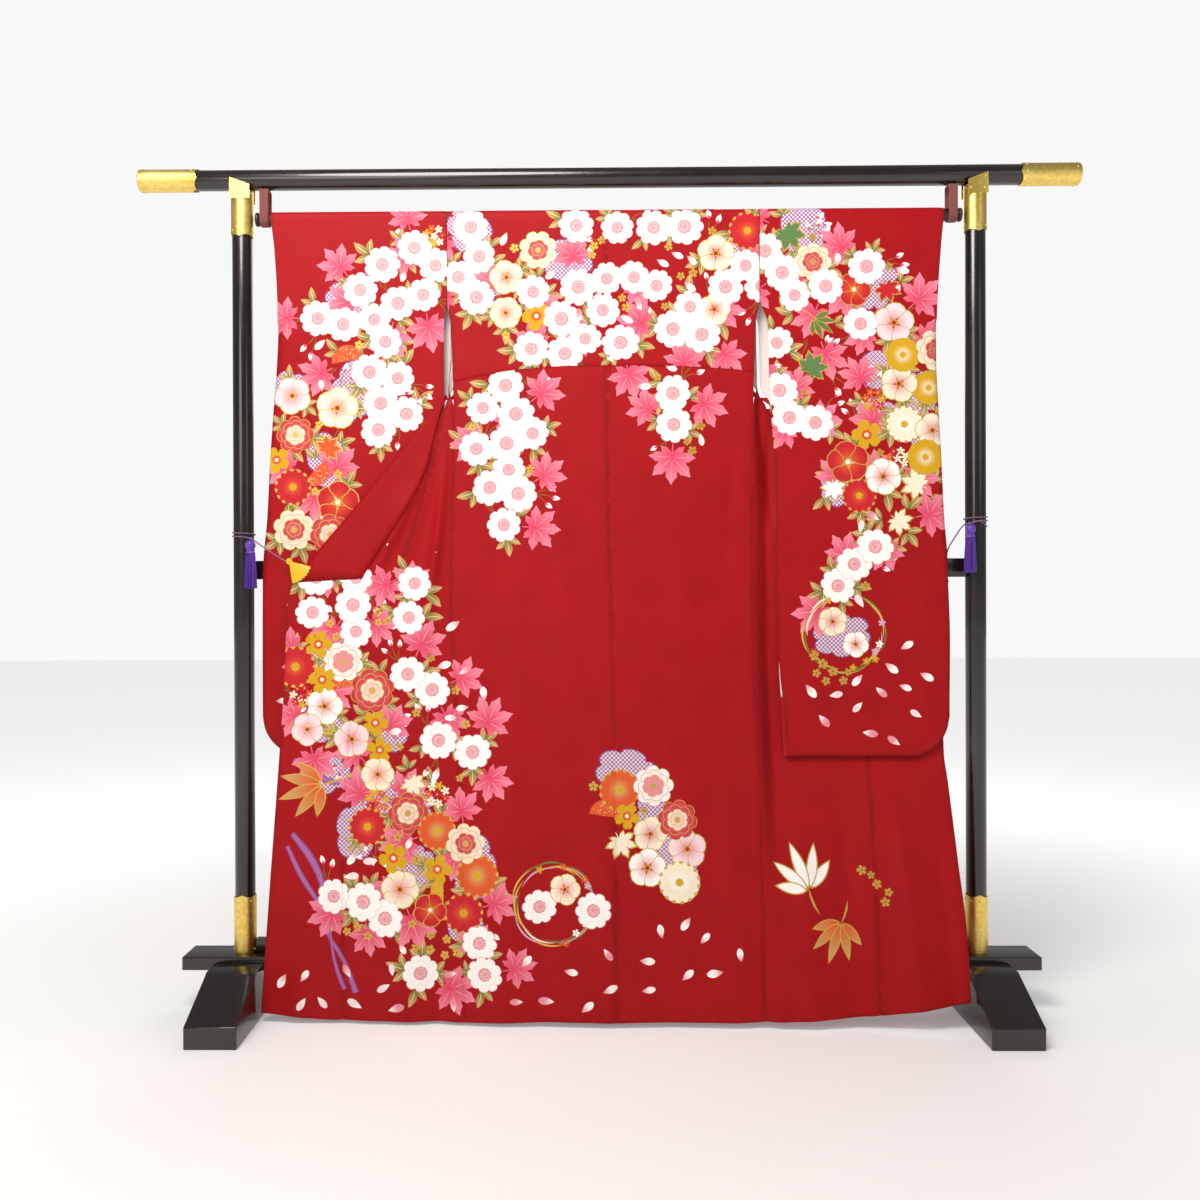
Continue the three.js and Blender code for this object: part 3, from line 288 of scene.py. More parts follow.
finishes = {  # scale: the texture's own, for a metre
    "plainCrepe": {  # the collar's plain red crepe, the same grain as the print's ground
        "colour": silkLook["ground"], "second": "#9C0A10",
        "scale": 1 / (silkLook["crepeGrain"] * mm), "rough": (0.55, 0.62),
        "bump": 0.22, "depth": 0.0006, "shine": 0.16,
    },
    "blackLacquer": {  # sprayed lacquer on turned and planed wood: near black, glossy, faint waves of 55 mm
        "colour": "#120B09", "second": "#1E1411", "scale": 18.0, "rough": (0.2, 0.3),
        "bump": 0.05, "depth": 0.0006, "coat": 0.55,
    },
    "giltBrass": {  # stamped brass sheet, hammered in 5 mm dents and gilt: warm, bright
        "colour": "#EDC862", "second": "#FBE28C", "scale": 190.0, "rough": (0.34, 0.48),
        "bump": 0.3, "depth": 0.0008, "metallic": 1.0,
    },
    "satinPaint": {  # satin enamel on the hanging rod, brushed in soft streaks 17 mm wide
        "colour": "#151011", "second": "#221A1B", "scale": 60.0, "rough": (0.34, 0.46),
        "bump": 0.06, "depth": 0.0004, "coat": 0.1,
    },
    "cottonTape": {  # herringbone cotton tape in ribs 2 mm apart, dyed reddish brown, matt
        "colour": "#8E4A44", "second": "#6E3632", "scale": 620.0, "rough": (0.75, 0.88),
        "bump": 0.5, "depth": 0.0005, "sheen": 0.2,
    },
    "braidedCord": {  # thin rayon cord braided in steps of 1.4 mm, mauve grey, slightly shiny
        "colour": "#8C6C8E", "second": "#5E4468", "scale": 900.0, "rough": (0.45, 0.6),
        "bump": 0.4, "depth": 0.0004, "sheen": 0.1,
    },
    "rayonThread": {  # cut rayon thread of the tassels, deep violet, silky, in locks 4 mm wide
        "colour": "#4B2196", "second": "#6A35B4", "scale": 240.0, "rough": (0.34, 0.5),
        "bump": 0.15, "depth": 0.0003, "sheen": 0.25,
    },
    "mouldedPlastic": {  # injection-moulded yellow plastic of the clips, semi-gloss, faint 8 mm flow marks
        "colour": "#F2BE1C", "second": "#EDB414", "scale": 120.0, "rough": (0.28, 0.36),
        "bump": 0.04, "depth": 0.0003, "coat": 0.1,
    },
}


grainStretch = {"satinPaint": (0.12, 1, 1), "rayonThread": (1, 1, 0.12)}  # long along the rod, or hanging


def makeFinish(name):
    look = finishes[name]
    material, tree, surface = startMaterial(name, look["colour"])
    place = addNode(tree, "ShaderNodeTexCoord")
    stretch = addNode(tree, "ShaderNodeMapping", {
        "Vector": place.outputs["Object"], "Scale": grainStretch.get(name, (1, 1, 1)),
    })
    if name == "giltBrass":
        grain = addNode(tree, "ShaderNodeTexVoronoi", {
            "Vector": stretch.outputs["Vector"], "Scale": look["scale"],
        }, feature="SMOOTH_F1")
        level = grain.outputs["Distance"]
    elif name in ("cottonTape", "braidedCord"):
        grain = addNode(tree, "ShaderNodeTexWave", {
            "Vector": stretch.outputs["Vector"], "Scale": look["scale"] / 2, "Distortion": 2.0,
            "Detail": 1.0, "Detail Scale": 2.0,
        }, bands_direction="DIAGONAL")
        level = grain.outputs["Fac"]
    else:
        grain = addNode(tree, "ShaderNodeTexNoise", {
            "Vector": stretch.outputs["Vector"], "Scale": look["scale"], "Detail": 3.0,
        })
        level = grain.outputs["Fac"]
    wide = addNode(tree, "ShaderNodeTexNoise", {
        "Vector": place.outputs["Object"], "Scale": 9.0, "Detail": 4.0,
    })
    blend = addNode(tree, "ShaderNodeMath", {0: level, 1: wide.outputs["Fac"]}, operation="ADD")
    share = addNode(tree, "ShaderNodeMapRange", {
        "Value": blend.outputs["Value"], "From Min": 0.7, "From Max": 1.3,
    })
    colour = addNode(tree, "ShaderNodeMix", {
        "Factor": share.outputs["Result"], "A": linear(look["colour"]), "B": linear(look["second"]),
    }, data_type="RGBA")
    rough = addNode(tree, "ShaderNodeMapRange", {
        "Value": wide.outputs["Fac"], "From Min": 0.3, "From Max": 0.7,
        "To Min": look["rough"][0], "To Max": look["rough"][1],
    })
    bump = addNode(tree, "ShaderNodeBump", {
        "Height": level, "Strength": look["bump"], "Distance": look["depth"],
    })
    setInputs(tree, surface, {
        "Base Color": colour.outputs["Result"], "Roughness": rough.outputs["Result"],
        "Normal": bump.outputs["Normal"], "Metallic": look.get("metallic", 0.0),
        "Specular IOR Level": look.get("shine", 0.5), "Coat Weight": look.get("coat", 0.0),
        "Coat Roughness": 0.08, "Sheen Weight": look.get("sheen", 0.0),
    })
    return material


materials = {name: makeFinish(name) for name in finishes}
materials["printedSilk"] = makePrintedSilk()
materials["lining"] = makeLiningSilk()
print("materials made:", len(materials))


# the hung form of the cloth: a table has a row for each height z, with the columns named in it

backTable = {
    "columns": ("z", "centreX", "leftX", "rightX", "centreY", "leftY", "rightY"),
    "rows": [
        (1619, -5, -327.4, 308.6, -14.2, -14.2, -14.2),
        (1448, -5, -327.4, 308.6, -15.5, -15, -15),
        (1400, -4, -321, 301, -16, -15.5, -15.5),
        (1236, -4, -315, 295, -21, -18, -18),
        (1115, -3, -314, 292, -27, -22, -21),
        (1005, -1, -318, 290, -34, -27, -26),
        (850, 3, -319, 289, -45, -38, -35),
        (636, 8, -308, 292, -66, -55, -54),
        (474, 9, -300, 298, -84, -71, -73),
        (240, 9, -292, 299, -108, -95, -101),
        (9, 9, -287, 299, -127, -113, -127),
    ],
}
frontTable = {  # the opened fronts: the overlap's seam, the collar's seam, the free edge, two depths
    "left": {
        "columns": ("z", "overlapX", "collarX", "edgeX", "midY", "edgeY"),
        "rows": [
            (1236, -331, -334.5, -341, -20.5, -21),
            (1200, -338, -346, -372, -22.5, -23),
            (1115, -358, -366, -440, -27, -27),
            (1068, -370, -384, -480, -29, -29),
            (1005, -388, -420, -532, -31, -31),
            (946, -407, -458, -583, -34, -33),
            (900, -425, -488, -618, -37, -35),
            (870, -438, -505, -641, -39, -36),
            (800, -470, None, -653, -43, -39),
            (696, -508, None, -655, -51, -45),
            (563, -524, None, -662, -62, -54),
            (318, -533, None, -676, -84, -74),
            (120, -531, None, -687, -100, -90),
            (9, -529, None, -694, -106, -96),
        ],
    },
    "right": {
        "columns": ("z", "overlapX", "collarX", "edgeX", "midY", "edgeY"),
        "rows": [
            (1236, 322, 328, 336, 4.5, 4.5),
            (1200, 333, 344, 366, 2, 2),
            (1115, 352, 366, 440, -3, -3),
            (1068, 364, 384, 482, -5.5, -5.5),
            (1005, 382, 420, 538, -9, -9),
            (946, 400, 458, 592, -12.2, -12.2),
            (900, 420, 490, 634, -13, -13),
            (870, 434, 508, 660, -13.5, -13.5),
            (800, 468, None, 669, -15, -15),
            (696, 502, None, 672, -18, -18),
            (563, 518, None, 675, -25, -27),
            (520, 520, None, 675, -31, -32),
            (474, 521, None, 676, -44, -52),
            (318, 521, None, 683, -84, -96),
            (186, 521, None, 691, -110, -125),
            (9, 521, None, 694, -136, -149),
        ],
    },
}
hemTable = {
    "columns": ("x", "z"),
    "rows": [(694, 56), (547, 32), (484, 25), (380, 18), (299, 14), (211, 12), (-100, 11), (-328, 7),
             (-532, 8), (-694, 20)],
}
tuck = {"z": 1314, "leftDrop": 31, "rightDrop": 14, "step": 2.6, "fade": 84}  # the fold across the back
gatherTable = {  # the far side of the body above the armpit: its collar edge and its sleeve edge
    "left": [
        (-86, 13.4, 1598, -327, 13.4, 1598), (-135, 12.2, 1535, -325.5, 12, 1530),
        (-210, 10, 1435, -322, 9, 1430), (-284, 6, 1330, -321.5, 5, 1345),
        (-316, 1.5, 1274, -324, -1, 1292), (-326, -5, 1250, -325.5, -13, 1264),
    ],
    "right": [
        (76, 13.4, 1598, 308.3, 13.4, 1598), (122, 12.4, 1535, 306, 12.2, 1530),
        (195, 10.6, 1435, 303, 10, 1430), (268, 8.5, 1330, 303, 6, 1345),
        (300, 7.5, 1274, 303.5, 0, 1292), (311, 6, 1250, 302.5, -8, 1262),
    ],
}
collarTable = {  # seam and free edge of the collar from the neck to the armpit
    "middle": (-5, 16.6, 1619, -5, 18, 1566),
    "left": [
        (-78, 16.6, 1616, -60, 17.4, 1566), (-118, 15.5, 1560, -80, 15.6, 1524),
        (-209, 12.6, 1434, -172, 12.8, 1404), (-284, 9, 1326, -262, 9.6, 1304),
        (-313, 4.4, 1266, -306, 7.5, 1252), (-327, -2, 1247, -327.5, 6, 1248),
        (-330.5, -14, 1245, -330.5, -10, 1256), (-334.9, -20.9, 1236, -335.5, -21, 1250),
    ],
    "right": [
        (68, 16.6, 1616, 50, 17.4, 1566), (105, 15.6, 1560, 68, 15.8, 1524),
        (194, 13.2, 1434, 158, 13.4, 1404), (268, 11.4, 1326, 247, 12, 1304),
        (299, 10.4, 1266, 293, 13, 1254), (314, 8.6, 1246, 313, 13, 1250),
        (328.8, 5, 1236, 330, 5.6, 1249),
    ],
}
sleeve = {"bottom": 520, "corner": 80, "cuff": 1403, "closing": 30}
sleeveTable = {  # body edge, outer edge, and the depths of the near and the far outer skin
    "left": {
        "columns": ("z", "innerX", "outerX", "nearY", "farY"),
        "rows": [
            (1634, -328.2, -691, -15, 15), (1553, -328.2, -681, -15, 13.5),
            (1448, -328.2, -675.5, -15, 11), (1405, -334, -675, -15.2, 9.5),
            (1317, -334.5, -678, -15.8, 6), (1236, -334.5, -684, -17, 2),
            (1123, -335, -691, -20, -4), (1000, -336, -697, -22, -9.5),
            (925, -337, -704, -23, -12.2), (880, -338, -706, -23.4, -12.4),
            (654, -340, -707, -24, -12.6), (520, -341, -706, -24, -13),
        ],
    },
    "right": {
        "columns": ("z", "innerX", "outerX", "nearY", "farY"),
        "rows": [
            (1634, 309.4, 685, -15, 15), (1553, 309.4, 677, -15, 13.5),
            (1448, 309.4, 670, -15.2, 10.5), (1397, 325, 668, -15.5, 8),
            (1317, 327, 668, -16.2, 4.5), (1236, 329, 671, -17.5, 1),
            (1123, 337, 676, -20.4, -6.4), (1000, 340, 680, -24.4, -13.2),
            (925, 340, 685, -27.6, -16.6), (880, 340, 686, -28.6, -17),
            (764, 342, 689, -31.4, -19.8), (621, 348, 686, -38, -26.4),
            (520, 352, 684, -46, -36),
        ],
    },
}
rod = {"height": 1619, "drape": 14.21, "radius": 13, "halfLength": 722, "capLength": 8}
crest = rod["height"] + rod["drape"] * math.pi / 2  # flat height of the cloth's line along the rod's top
armpit = 1236  # height where the far side's gathers end and the opened fronts begin
clothThickness = 1.3
skinDepth = 0.8  # from the sleeve table's outer skins, and the clips' grip, to the middle of the cloth
seamPaintedShade = 0.7  # painted shade: how dark the cloth is painted along every edge of a cut piece, seams and hems alike, for the shade in the grooves and rolls there
signs = {"left": -1, "right": 1}

# folds: each runs down through points (z, x), with a half width and a height toward the viewer
foldTable = {
    "back": [
        ([(1290, -120), (900, -96), (420, -60)], 26, 1.6),
        ([(1240, 132), (820, 150), (300, 166)], 34, 1.8),
        ([(1260, -262), (1000, -240), (640, -205)], 20, -1.7),
        ([(1270, 268), (1060, 246), (760, 222)], 18, -1.6),
        ([(760, -190), (380, -204), (8, -214)], 38, 4.2),
        ([(620, -20), (300, -14), (8, -6)], 30, 3.4),
        ([(700, 84), (340, 96), (8, 112)], 36, -3.2),
        ([(560, 222), (260, 236), (8, 244)], 30, 4.4),
        ([(520, -118), (250, -122), (8, -128)], 28, -3.0),
        ([(1590, -292), (1500, -262), (1400, -238)], 16, 1.2),
        ([(1596, 262), (1490, 236), (1396, 204)], 18, 1.1),
    ],
    "left": [
        ([(1216, -345), (1040, -402), (900, -470), (790, -540)], 15, 10.5),
        ([(1190, -331), (1010, -367), (860, -410), (700, -452)], 14, -3.0),
        ([(1180, -327), (980, -345), (800, -368), (640, -380)], 13, 10.0),
        ([(1150, -360), (1000, -440), (920, -520), (880, -590)], 14, 7.0),
        ([(1060, -345), (860, -395), (600, -432)], 11, -2.0),
        ([(640, -600), (380, -612), (16, -622)], 24, 5.0),
        ([(560, -505), (300, -512), (10, -520)], 22, -4.6),
        ([(600, -415), (300, -410), (8, -402)], 26, 5.6),
        ([(420, -350), (200, -346), (8, -340)], 18, -3.6),
    ],
    "right": [
        ([(1196, 324), (1080, 329), (960, 333)], 16, -8.0),
        ([(1190, 330), (1010, 346), (820, 356), (660, 370)], 12, 2.2),
        ([(1150, 340), (980, 420), (900, 500), (850, 560)], 15, 2.2),
        ([(1100, 312), (900, 322), (700, 330)], 9, -2.2),
        ([(460, 372), (240, 384), (16, 392)], 26, 5.2),
        ([(470, 455), (240, 470), (24, 478)], 24, -4.8),
        ([(480, 560), (240, 586), (40, 600)], 28, 6.0),
        ([(420, 640), (200, 654), (52, 664)], 16, -3.2),
    ],
    "sleeveLeft": [
        ([(1600, -470), (1300, -452), (980, -446)], 26, 1.5),
        ([(1400, -600), (1100, -622), (700, -640)], 22, -1.4),
        ([(1180, -380), (880, -392), (560, -398)], 24, 1.6),
        ([(960, -560), (740, -552), (540, -556)], 28, -1.5),
    ],
    "sleeveRight": [
        ([(1590, 480), (1260, 500), (940, 520)], 26, 1.5),
        ([(1300, 606), (1000, 588), (640, 580)], 24, -1.6),
        ([(1160, 390), (860, 410), (560, 420)], 22, 1.6),
        ([(900, 640), (700, 636), (540, 640)], 16, 1.3),
    ],
}


# a smooth curve through a table's column that never overshoots its rows
def readTable(table, column, key):
    place = table["columns"].index(column)
    rows = sorted((row[0], row[place]) for row in table["rows"] if row[place] is not None)
    x = np.array([row[0] for row in rows], float)
    y = np.array([row[1] for row in rows], float)
    step = np.diff(x)
    rise = np.diff(y) / step
    slope = np.zeros(len(x))
    slope[0], slope[-1] = rise[0], rise[-1]
    for i in range(1, len(x) - 1):
        if rise[i - 1] * rise[i] > 0:
            before, after = 2 * step[i] + step[i - 1], step[i] + 2 * step[i - 1]
            slope[i] = (before + after) / (before / rise[i - 1] + after / rise[i])
    at = np.clip(np.asarray(key, float), x[0], x[-1])
    i = np.clip(np.searchsorted(x, at) - 1, 0, len(step) - 1)
    t = (at - x[i]) / step[i]
    low = y[i] * (1 + 2 * t) * (1 - t) ** 2 + step[i] * slope[i] * t * (1 - t) ** 2
    return low + y[i + 1] * t * t * (3 - 2 * t) + step[i] * slope[i + 1] * t * t * (t - 1)


def mix(a, b, t):
    return a + (b - a) * t


def foldRelief(folds, x, z):
    relief = np.zeros_like(x)
    for path, halfWidth, height in folds:
        rows = sorted(path)
        at = np.interp(z, [r[0] for r in rows], [r[1] for r in rows])
        top, low = rows[-1][0], rows[0][0]
        length = top - low
        share = np.clip((top - z) / length, 0, 1)
        foot = 1 - smooth((share - 0.65) / 0.35) if low > 60 else 1
        spread = halfWidth * (0.55 + 0.6 * share)
        relief += height * smooth(share / 0.45) * foot * (z < top) * np.exp(-((x - at) / spread) ** 2)
    return relief


def tuckLine(side, across):
    return tuck["z"] - tuck[side + "Drop"] * np.clip(across, 0, 1) ** 2.5


def backAcross(side, x, z):
    centre = readTable(backTable, "centreX", z)
    edge = readTable(backTable, side + "X", z)
    return np.clip((x - centre) / (edge - centre), 0, 1)


# flat heights above the rod's axis run round the rod to the far side; out is -1 for the near wall
def roundRod(y, v, out=-1):
    turn = np.maximum(v - rod["height"], 0) / rod["drape"]
    y = np.where(turn > 0, out * rod["drape"] * np.cos(turn), y)
    z = np.where(turn > 0, rod["height"] + rod["drape"] * np.sin(turn), np.minimum(v, rod["height"]))
    return y, z


def backPlace(side, x, v):
    z = np.minimum(v, rod["height"])
    across = backAcross(side, x, z)
    y = mix(readTable(backTable, "centreY", z), readTable(backTable, side + "Y", z), across ** 1.6)
    above = z - tuckLine(side, across)
    lip = tuck["step"] * smooth(above / 1.6 + 0.5) * (1 - smooth((above - 4) / tuck["fade"]))
    shadow = 0.9 * np.exp(-(above / 14) ** 2) * (above < 0)
    y, z = roundRod(y - lip + shadow - foldRelief(foldTable["back"], x, z), v)
    return np.stack([x, y, z], 1)


def frontDepth(side, x, z):
    table = frontTable[side]
    seam = readTable(backTable, side + "X", z)
    reach = np.abs(x - seam)
    width = np.maximum(1, np.abs(readTable(table, "edgeX", z) - seam))
    turn = np.full_like(reach, 60.0) if side == "left" else np.minimum(34, 12 + 0.12 * (armpit - z))
    fromSeam = mix(readTable(backTable, side + "Y", z), readTable(table, "midY", z), smooth(reach / turn))
    y = mix(fromSeam, readTable(table, "edgeY", z), smooth((reach / width - 0.4) / 0.6))
    return y - foldRelief(foldTable[side], x, z)


def frontPlace(side, x, v):
    return np.stack([x, frontDepth(side, x, v), v], 1)


# one wall of a sleeve: near or far; the two close on each other at the bottom and the outer seam
def sleevePlace(side, far, x, v):
    table = sleeveTable[side]
    z = np.minimum(v, rod["height"])
    inner, outer = readTable(table, "innerX", z), readTable(table, "outerX", z)
    near, back = readTable(table, "nearY", z) + skinDepth, readTable(table, "farY", z) - skinDepth
    toEdge = np.abs(outer - x)
    past = np.clip(sleeve["corner"] - toEdge, 0, sleeve["corner"])
    bottom = sleeve["bottom"] + sleeve["corner"] - np.sqrt(sleeve["corner"] ** 2 - past ** 2)
    edgeShare = np.where(z < sleeve["cuff"] - 1, np.clip(toEdge / sleeve["closing"], 0, 1), 1)
    share = np.minimum(edgeShare, np.clip((z - bottom) / sleeve["closing"], 0, 1))
    full = (back - near) / 2
    half = mix(1.0, full, np.sqrt(np.clip(1 - (1 - share) ** 2, 0, 1)))
    folds = foldTable["sleeve" + side.capitalize()]
    relief = foldRelief(folds, x, z) * smooth((np.abs(x - inner)) / 40)
    out = 1 if far else -1
    y, z = roundRod((near + back) / 2 + out * half - relief, v, out)
    return np.stack([x, y, z], 1)


print("drape ready")


# the print: motifs as flat shapes, drawn one over the other. Points are complex numbers, x + iz.

dyes = {
    "white": "#FFF9F2", "blush": "#F9DBDC", "pink": "#E98D98", "rose": "#DC4F68",
    "heart": "#E59AA0", "rim": "#EFC9C8", "maple": "#DF4664", "mapleTip": "#F08A9C",
    "vein": "#F3A0B0", "olive": "#73762A", "peach": "#CFA566", "green": "#5E8048",
    "gold": "#D9B24E", "mustard": "#D7A31A", "orange": "#DD5A2C", "scarlet": "#C6232C",
    "lilac": "#D3A8C4", "purple": "#86487C", "ribbon": "#9A4F93", "cream": "#F8E9CC",
    "ground": silkLook["ground"], "deep": silkLook["deepGround"],
}
dyeColours = {name: np.array(linear(shade)) for name, shade in dyes.items()}


# one flat shape: its dye at the centre and at the reach, and how far it is dotted or gold
def layer(points, inner, outer=None, centre=0j, reach=1.0, dots=0.0, gold=0.0):
    return {
        "points": np.asarray(points, complex), "inner": inner, "outer": outer or inner,
        "centre": complex(centre), "reach": reach, "dots": dots, "gold": gold,
    }


def spin(points, degrees):
    return np.asarray(points, complex) * np.exp(1j * math.radians(degrees))


def scallops(count, depth, size=1.0, steps=6):
    angle = np.arange(count * steps) * 2 * math.pi / (count * steps)
    bump = np.abs(np.sin(count * angle / 2)) ** 0.55
    return size * (1 - depth + depth * bump) * np.exp(1j * angle)


def blossomShape(count=5, waist=0.4, notch=0.1, size=1.0, steps=10):
    angle = np.arange(count * steps) * 2 * math.pi / (count * steps)
    bump = np.abs(np.cos(count * angle / 2)) ** 0.5
    along = (angle * count / (2 * math.pi) + 0.5) % 1 - 0.5
    return size * (waist + (1 - waist) * bump - notch * np.exp(-(along / 0.07) ** 2)) * np.exp(1j * angle)


def leafShape(length, width, start=0.0, bend=0.0, steps=9):
    t = np.linspace(0, 1, steps)
    side = width / 2 * np.sin(math.pi * t ** 0.85) ** 0.9
    spine = start + (length - start) * t + 1j * bend * np.sin(math.pi * t)
    return np.concatenate([spine[:-1] - 1j * side[:-1], spine[::-1][:-1] + 1j * side[::-1][:-1]])


def petalShape(start, end, width, steps=7):
    t = np.linspace(0, 1, steps)
    side = width / 2 * np.sin(math.pi * np.clip(t, 0, 0.97) ** 1.5) ** 0.6 + 0.01
    spine = start + (end - start) * t
    return np.concatenate([spine - 1j * side, (spine + 1j * side)[::-1]])


def mapleShape(size=1.0):
    points = []
    lobes = [(-134, 0.6), (-92, 0.86), (-45, 0.98), (0, 1.0), (45, 0.98), (92, 0.86), (134, 0.6)]
    for i, (degrees, length) in enumerate(lobes):
        for along, off in ((0.62, -19), (0.74, -16), (0.8, -9), (1, 0), (0.8, 9), (0.74, 16), (0.62, 19)):
            points.append(length * along * np.exp(1j * math.radians(degrees + off)))
        if i < len(lobes) - 1:
            between = (degrees + lobes[i + 1][0]) / 2
            points.append(0.53 * np.exp(1j * math.radians(between)))
    points += [-0.2 + 0.03j, -0.5 + 0.02j, -0.5 - 0.02j, -0.2 - 0.03j]
    return size * np.array(points)


def cherry(rng):
    turned = rng.uniform(0, 30)
    squash = rng.uniform(0.9, 1.0)
    outer = spin(scallops(9, 0.15), turned)
    inner = spin(scallops(9, 0.13, 0.68), turned + 20)
    outer = outer.real + squash * 1j * outer.imag
    parts = [layer(outer, "rim"), layer(outer * 0.95, "blush", "white", reach=0.8)]
    parts.append(layer(inner.real + squash * 1j * inner.imag, "blush"))
    parts.append(layer(spin(scallops(9, 0.13, 0.655), turned + 20), "white"))
    parts.append(layer(scallops(9, 0.1, 0.37), "heart"))
    parts.append(layer(scallops(9, 0.1, 0.25) + 0.03, "blush"))
    parts.append(layer(scallops(9, 0.1, 0.22) + 0.03, "heart", "pink", reach=0.3))
    for k in range(7):
        dot = 0.13 * np.exp(2j * math.pi * k / 7) + blossomShape(4, 0.9, 0, 0.03, 2)
        parts.append(layer(dot, "cream", gold=0.3))
    return parts


def maple(rng):
    parts = [layer(mapleShape(), "maple", "mapleTip", reach=1.05)]
    for degrees, length in ((-92, 0.7), (-45, 0.82), (0, 0.86), (45, 0.82), (92, 0.7)):
        parts.append(layer(spin(leafShape(length, 0.026, 0.05, steps=4), degrees), "vein"))
    return parts


def linedMaple(rng):
    inside = rng.choice(["scarlet", "cream", "orange", "green", "white"])
    return [layer(mapleShape(), "gold", gold=0.7), layer(mapleShape(0.86), inside)]


def leaves(rng):
    parts = []
    for degrees, length in ((0, 1.0), (62, 0.86), (-58, 0.8))[:rng.choice([2, 3, 3])]:
        blade = leafShape(length, 0.42 * length, 0.06, 0.05)
        parts.append(layer(spin(blade, degrees), "olive", "peach", reach=length))
        parts.append(layer(spin(leafShape(length * 0.94, 0.03, 0.06, 0.05, 5), degrees), "cream"))
    return parts


def petal(rng):
    shade = rng.choice(["white", "white", "white", "blush", "pink"])
    body = petalShape(-0.9, 0.9, 0.88) - 0.1
    return [layer(body, "pink" if shade == "white" else "white", shade, centre=-0.9, reach=1.1)]


# a spray of closed flowers on thin stalks
def budSpray(rng):
    parts = []
    for degrees, length in ((-30, 0.86), (-2, 1.1), (27, 0.94))[:rng.choice([2, 3])]:
        tip = length * np.exp(1j * math.radians(degrees))
        parts.append(layer(spin(leafShape(length, 0.045, 0.0, 0.1, 6), degrees), "olive"))
        parts.append(layer(tip + spin(leafShape(0.5, 0.3, -0.04), degrees), "blush", "white",
                           centre=tip, reach=0.5))
        parts.append(layer(tip + spin(leafShape(0.17, 0.17, -0.06, 0, 5), degrees), "rose"))
    return parts


def goldFlower(rng):
    return [layer(blossomShape(5, 0.42, 0.06, steps=6), "gold", gold=0.8),
            layer(scallops(5, 0.1, 0.2, 3), "scarlet")]


def mustardFlower(rng):
    return [layer(blossomShape(5, 0.5, 0.08, steps=8), "mustard"),
            layer(scallops(6, 0.1, 0.34, 3), "orange"), layer(scallops(5, 0.1, 0.15, 3), "cream")]


def linedBlossom(rng):
    inside = rng.choice(["white", "white", "cream", "cream", "scarlet", "blush"])
    count = rng.choice([5, 5, 6])
    base, heart = ("orange", "cream") if inside == "scarlet" else ("pink", "scarlet")
    parts = []
    for k in range(count):
        turned = 360 / count * k
        parts.append(layer(spin(petalShape(0.13, 1.0, 1.02), turned), "gold", gold=0.6))
        parts.append(layer(spin(petalShape(0.17, 0.955, 0.92), turned), base, inside, reach=0.8))
    parts.append(layer(scallops(8, 0.12, 0.19, 3), "gold", gold=0.6))
    parts.append(layer(scallops(8, 0.12, 0.12, 3), heart))
    return parts


def chrysanthemum(rng):
    first, second = rng.choice([("cream", "white"), ("orange", "peach"), ("scarlet", "orange"),
                                ("mustard", "cream")])
    parts = [layer(scallops(15, 0.12, steps=4), "gold", gold=0.6)]
    for count, start, end, shade in ((15, 0.4, 0.96, first), (11, 0.16, 0.62, second)):
        for k in range(count):
            blade = petalShape(start, end, 2 * math.pi * end / count * 0.86, 5)
            parts.append(layer(spin(blade, 360 / count * k), shade, first, reach=end))
    parts.append(layer(scallops(8, 0.1, 0.17, 3), "mustard"))
    return parts


def peony(rng):
    outer, inner = rng.choice([("cream", "scarlet"), ("scarlet", "cream"), ("white", "pink")])
    parts = []
    for count, size, shade in ((8, 1.0, outer), (7, 0.76, outer), (6, 0.54, inner), (5, 0.34, inner)):
        turned = rng.uniform(0, 60)
        parts.append(layer(spin(scallops(count, 0.17, size), turned), "gold", gold=0.6))
        parts.append(layer(spin(scallops(count, 0.17, size - 0.035), turned), "pink", shade,
                           reach=size * 1.1))
    parts.append(layer(scallops(7, 0.1, 0.14, 3), "gold", gold=0.7))
    return parts


def bambooFan(rng):
    parts = []
    shades = rng.choice([("white", "white"), ("orange", "peach"), ("green", "olive")])
    for k, degrees in enumerate((-58, -29, 0, 30, 60)):
        length = (0.72, 0.92, 1.0, 0.9, 0.7)[k]
        parts.append(layer(spin(leafShape(length, 0.24, 0.05), degrees), "gold", gold=0.6))
        parts.append(layer(spin(leafShape(length - 0.05, 0.19, 0.09), degrees), *shades, reach=1.0))
    parts.append(layer(leafShape(0.1, 0.05, -0.5, 0.04, 4), "gold", gold=0.6))
    return parts


def miniCluster(rng):
    parts = []
    for k in range(8):
        where = 0j if k == 0 else 0.66 * np.exp(1j * (k * 0.9 + 0.2))
        shade = rng.choice(["mustard", "orange", "scarlet", "cream"])
        parts.append(layer(where + spin(blossomShape(5, 0.4, 0, 0.34, 4), k * 31), shade))
        parts.append(layer(where + blossomShape(4, 0.9, 0, 0.08, 2), "gold"))
    return parts


def dottedPatch(rng):
    count = rng.choice([5, 6, 7])
    edge = scallops(count, 0.2, steps=8)
    edge = edge.real + 0.72j * edge.imag
    return [layer(edge, "purple"), layer(edge * 0.955, "lilac", dots=1.0)]


def grainDisc(rng):
    angle = np.linspace(0, math.pi, 14)
    shade = rng.choice(["orange", "mustard"])
    parts = [layer(np.exp(1j * angle), shade)]
    for k in range(34):
        where = math.sqrt(rng.random()) * 0.92 * np.exp(1j * math.pi * rng.uniform(0.06, 0.94))
        parts.append(layer(where + np.array([0.03, 0.03j, -0.03, -0.03j]), "cream", gold=0.3))
    return parts


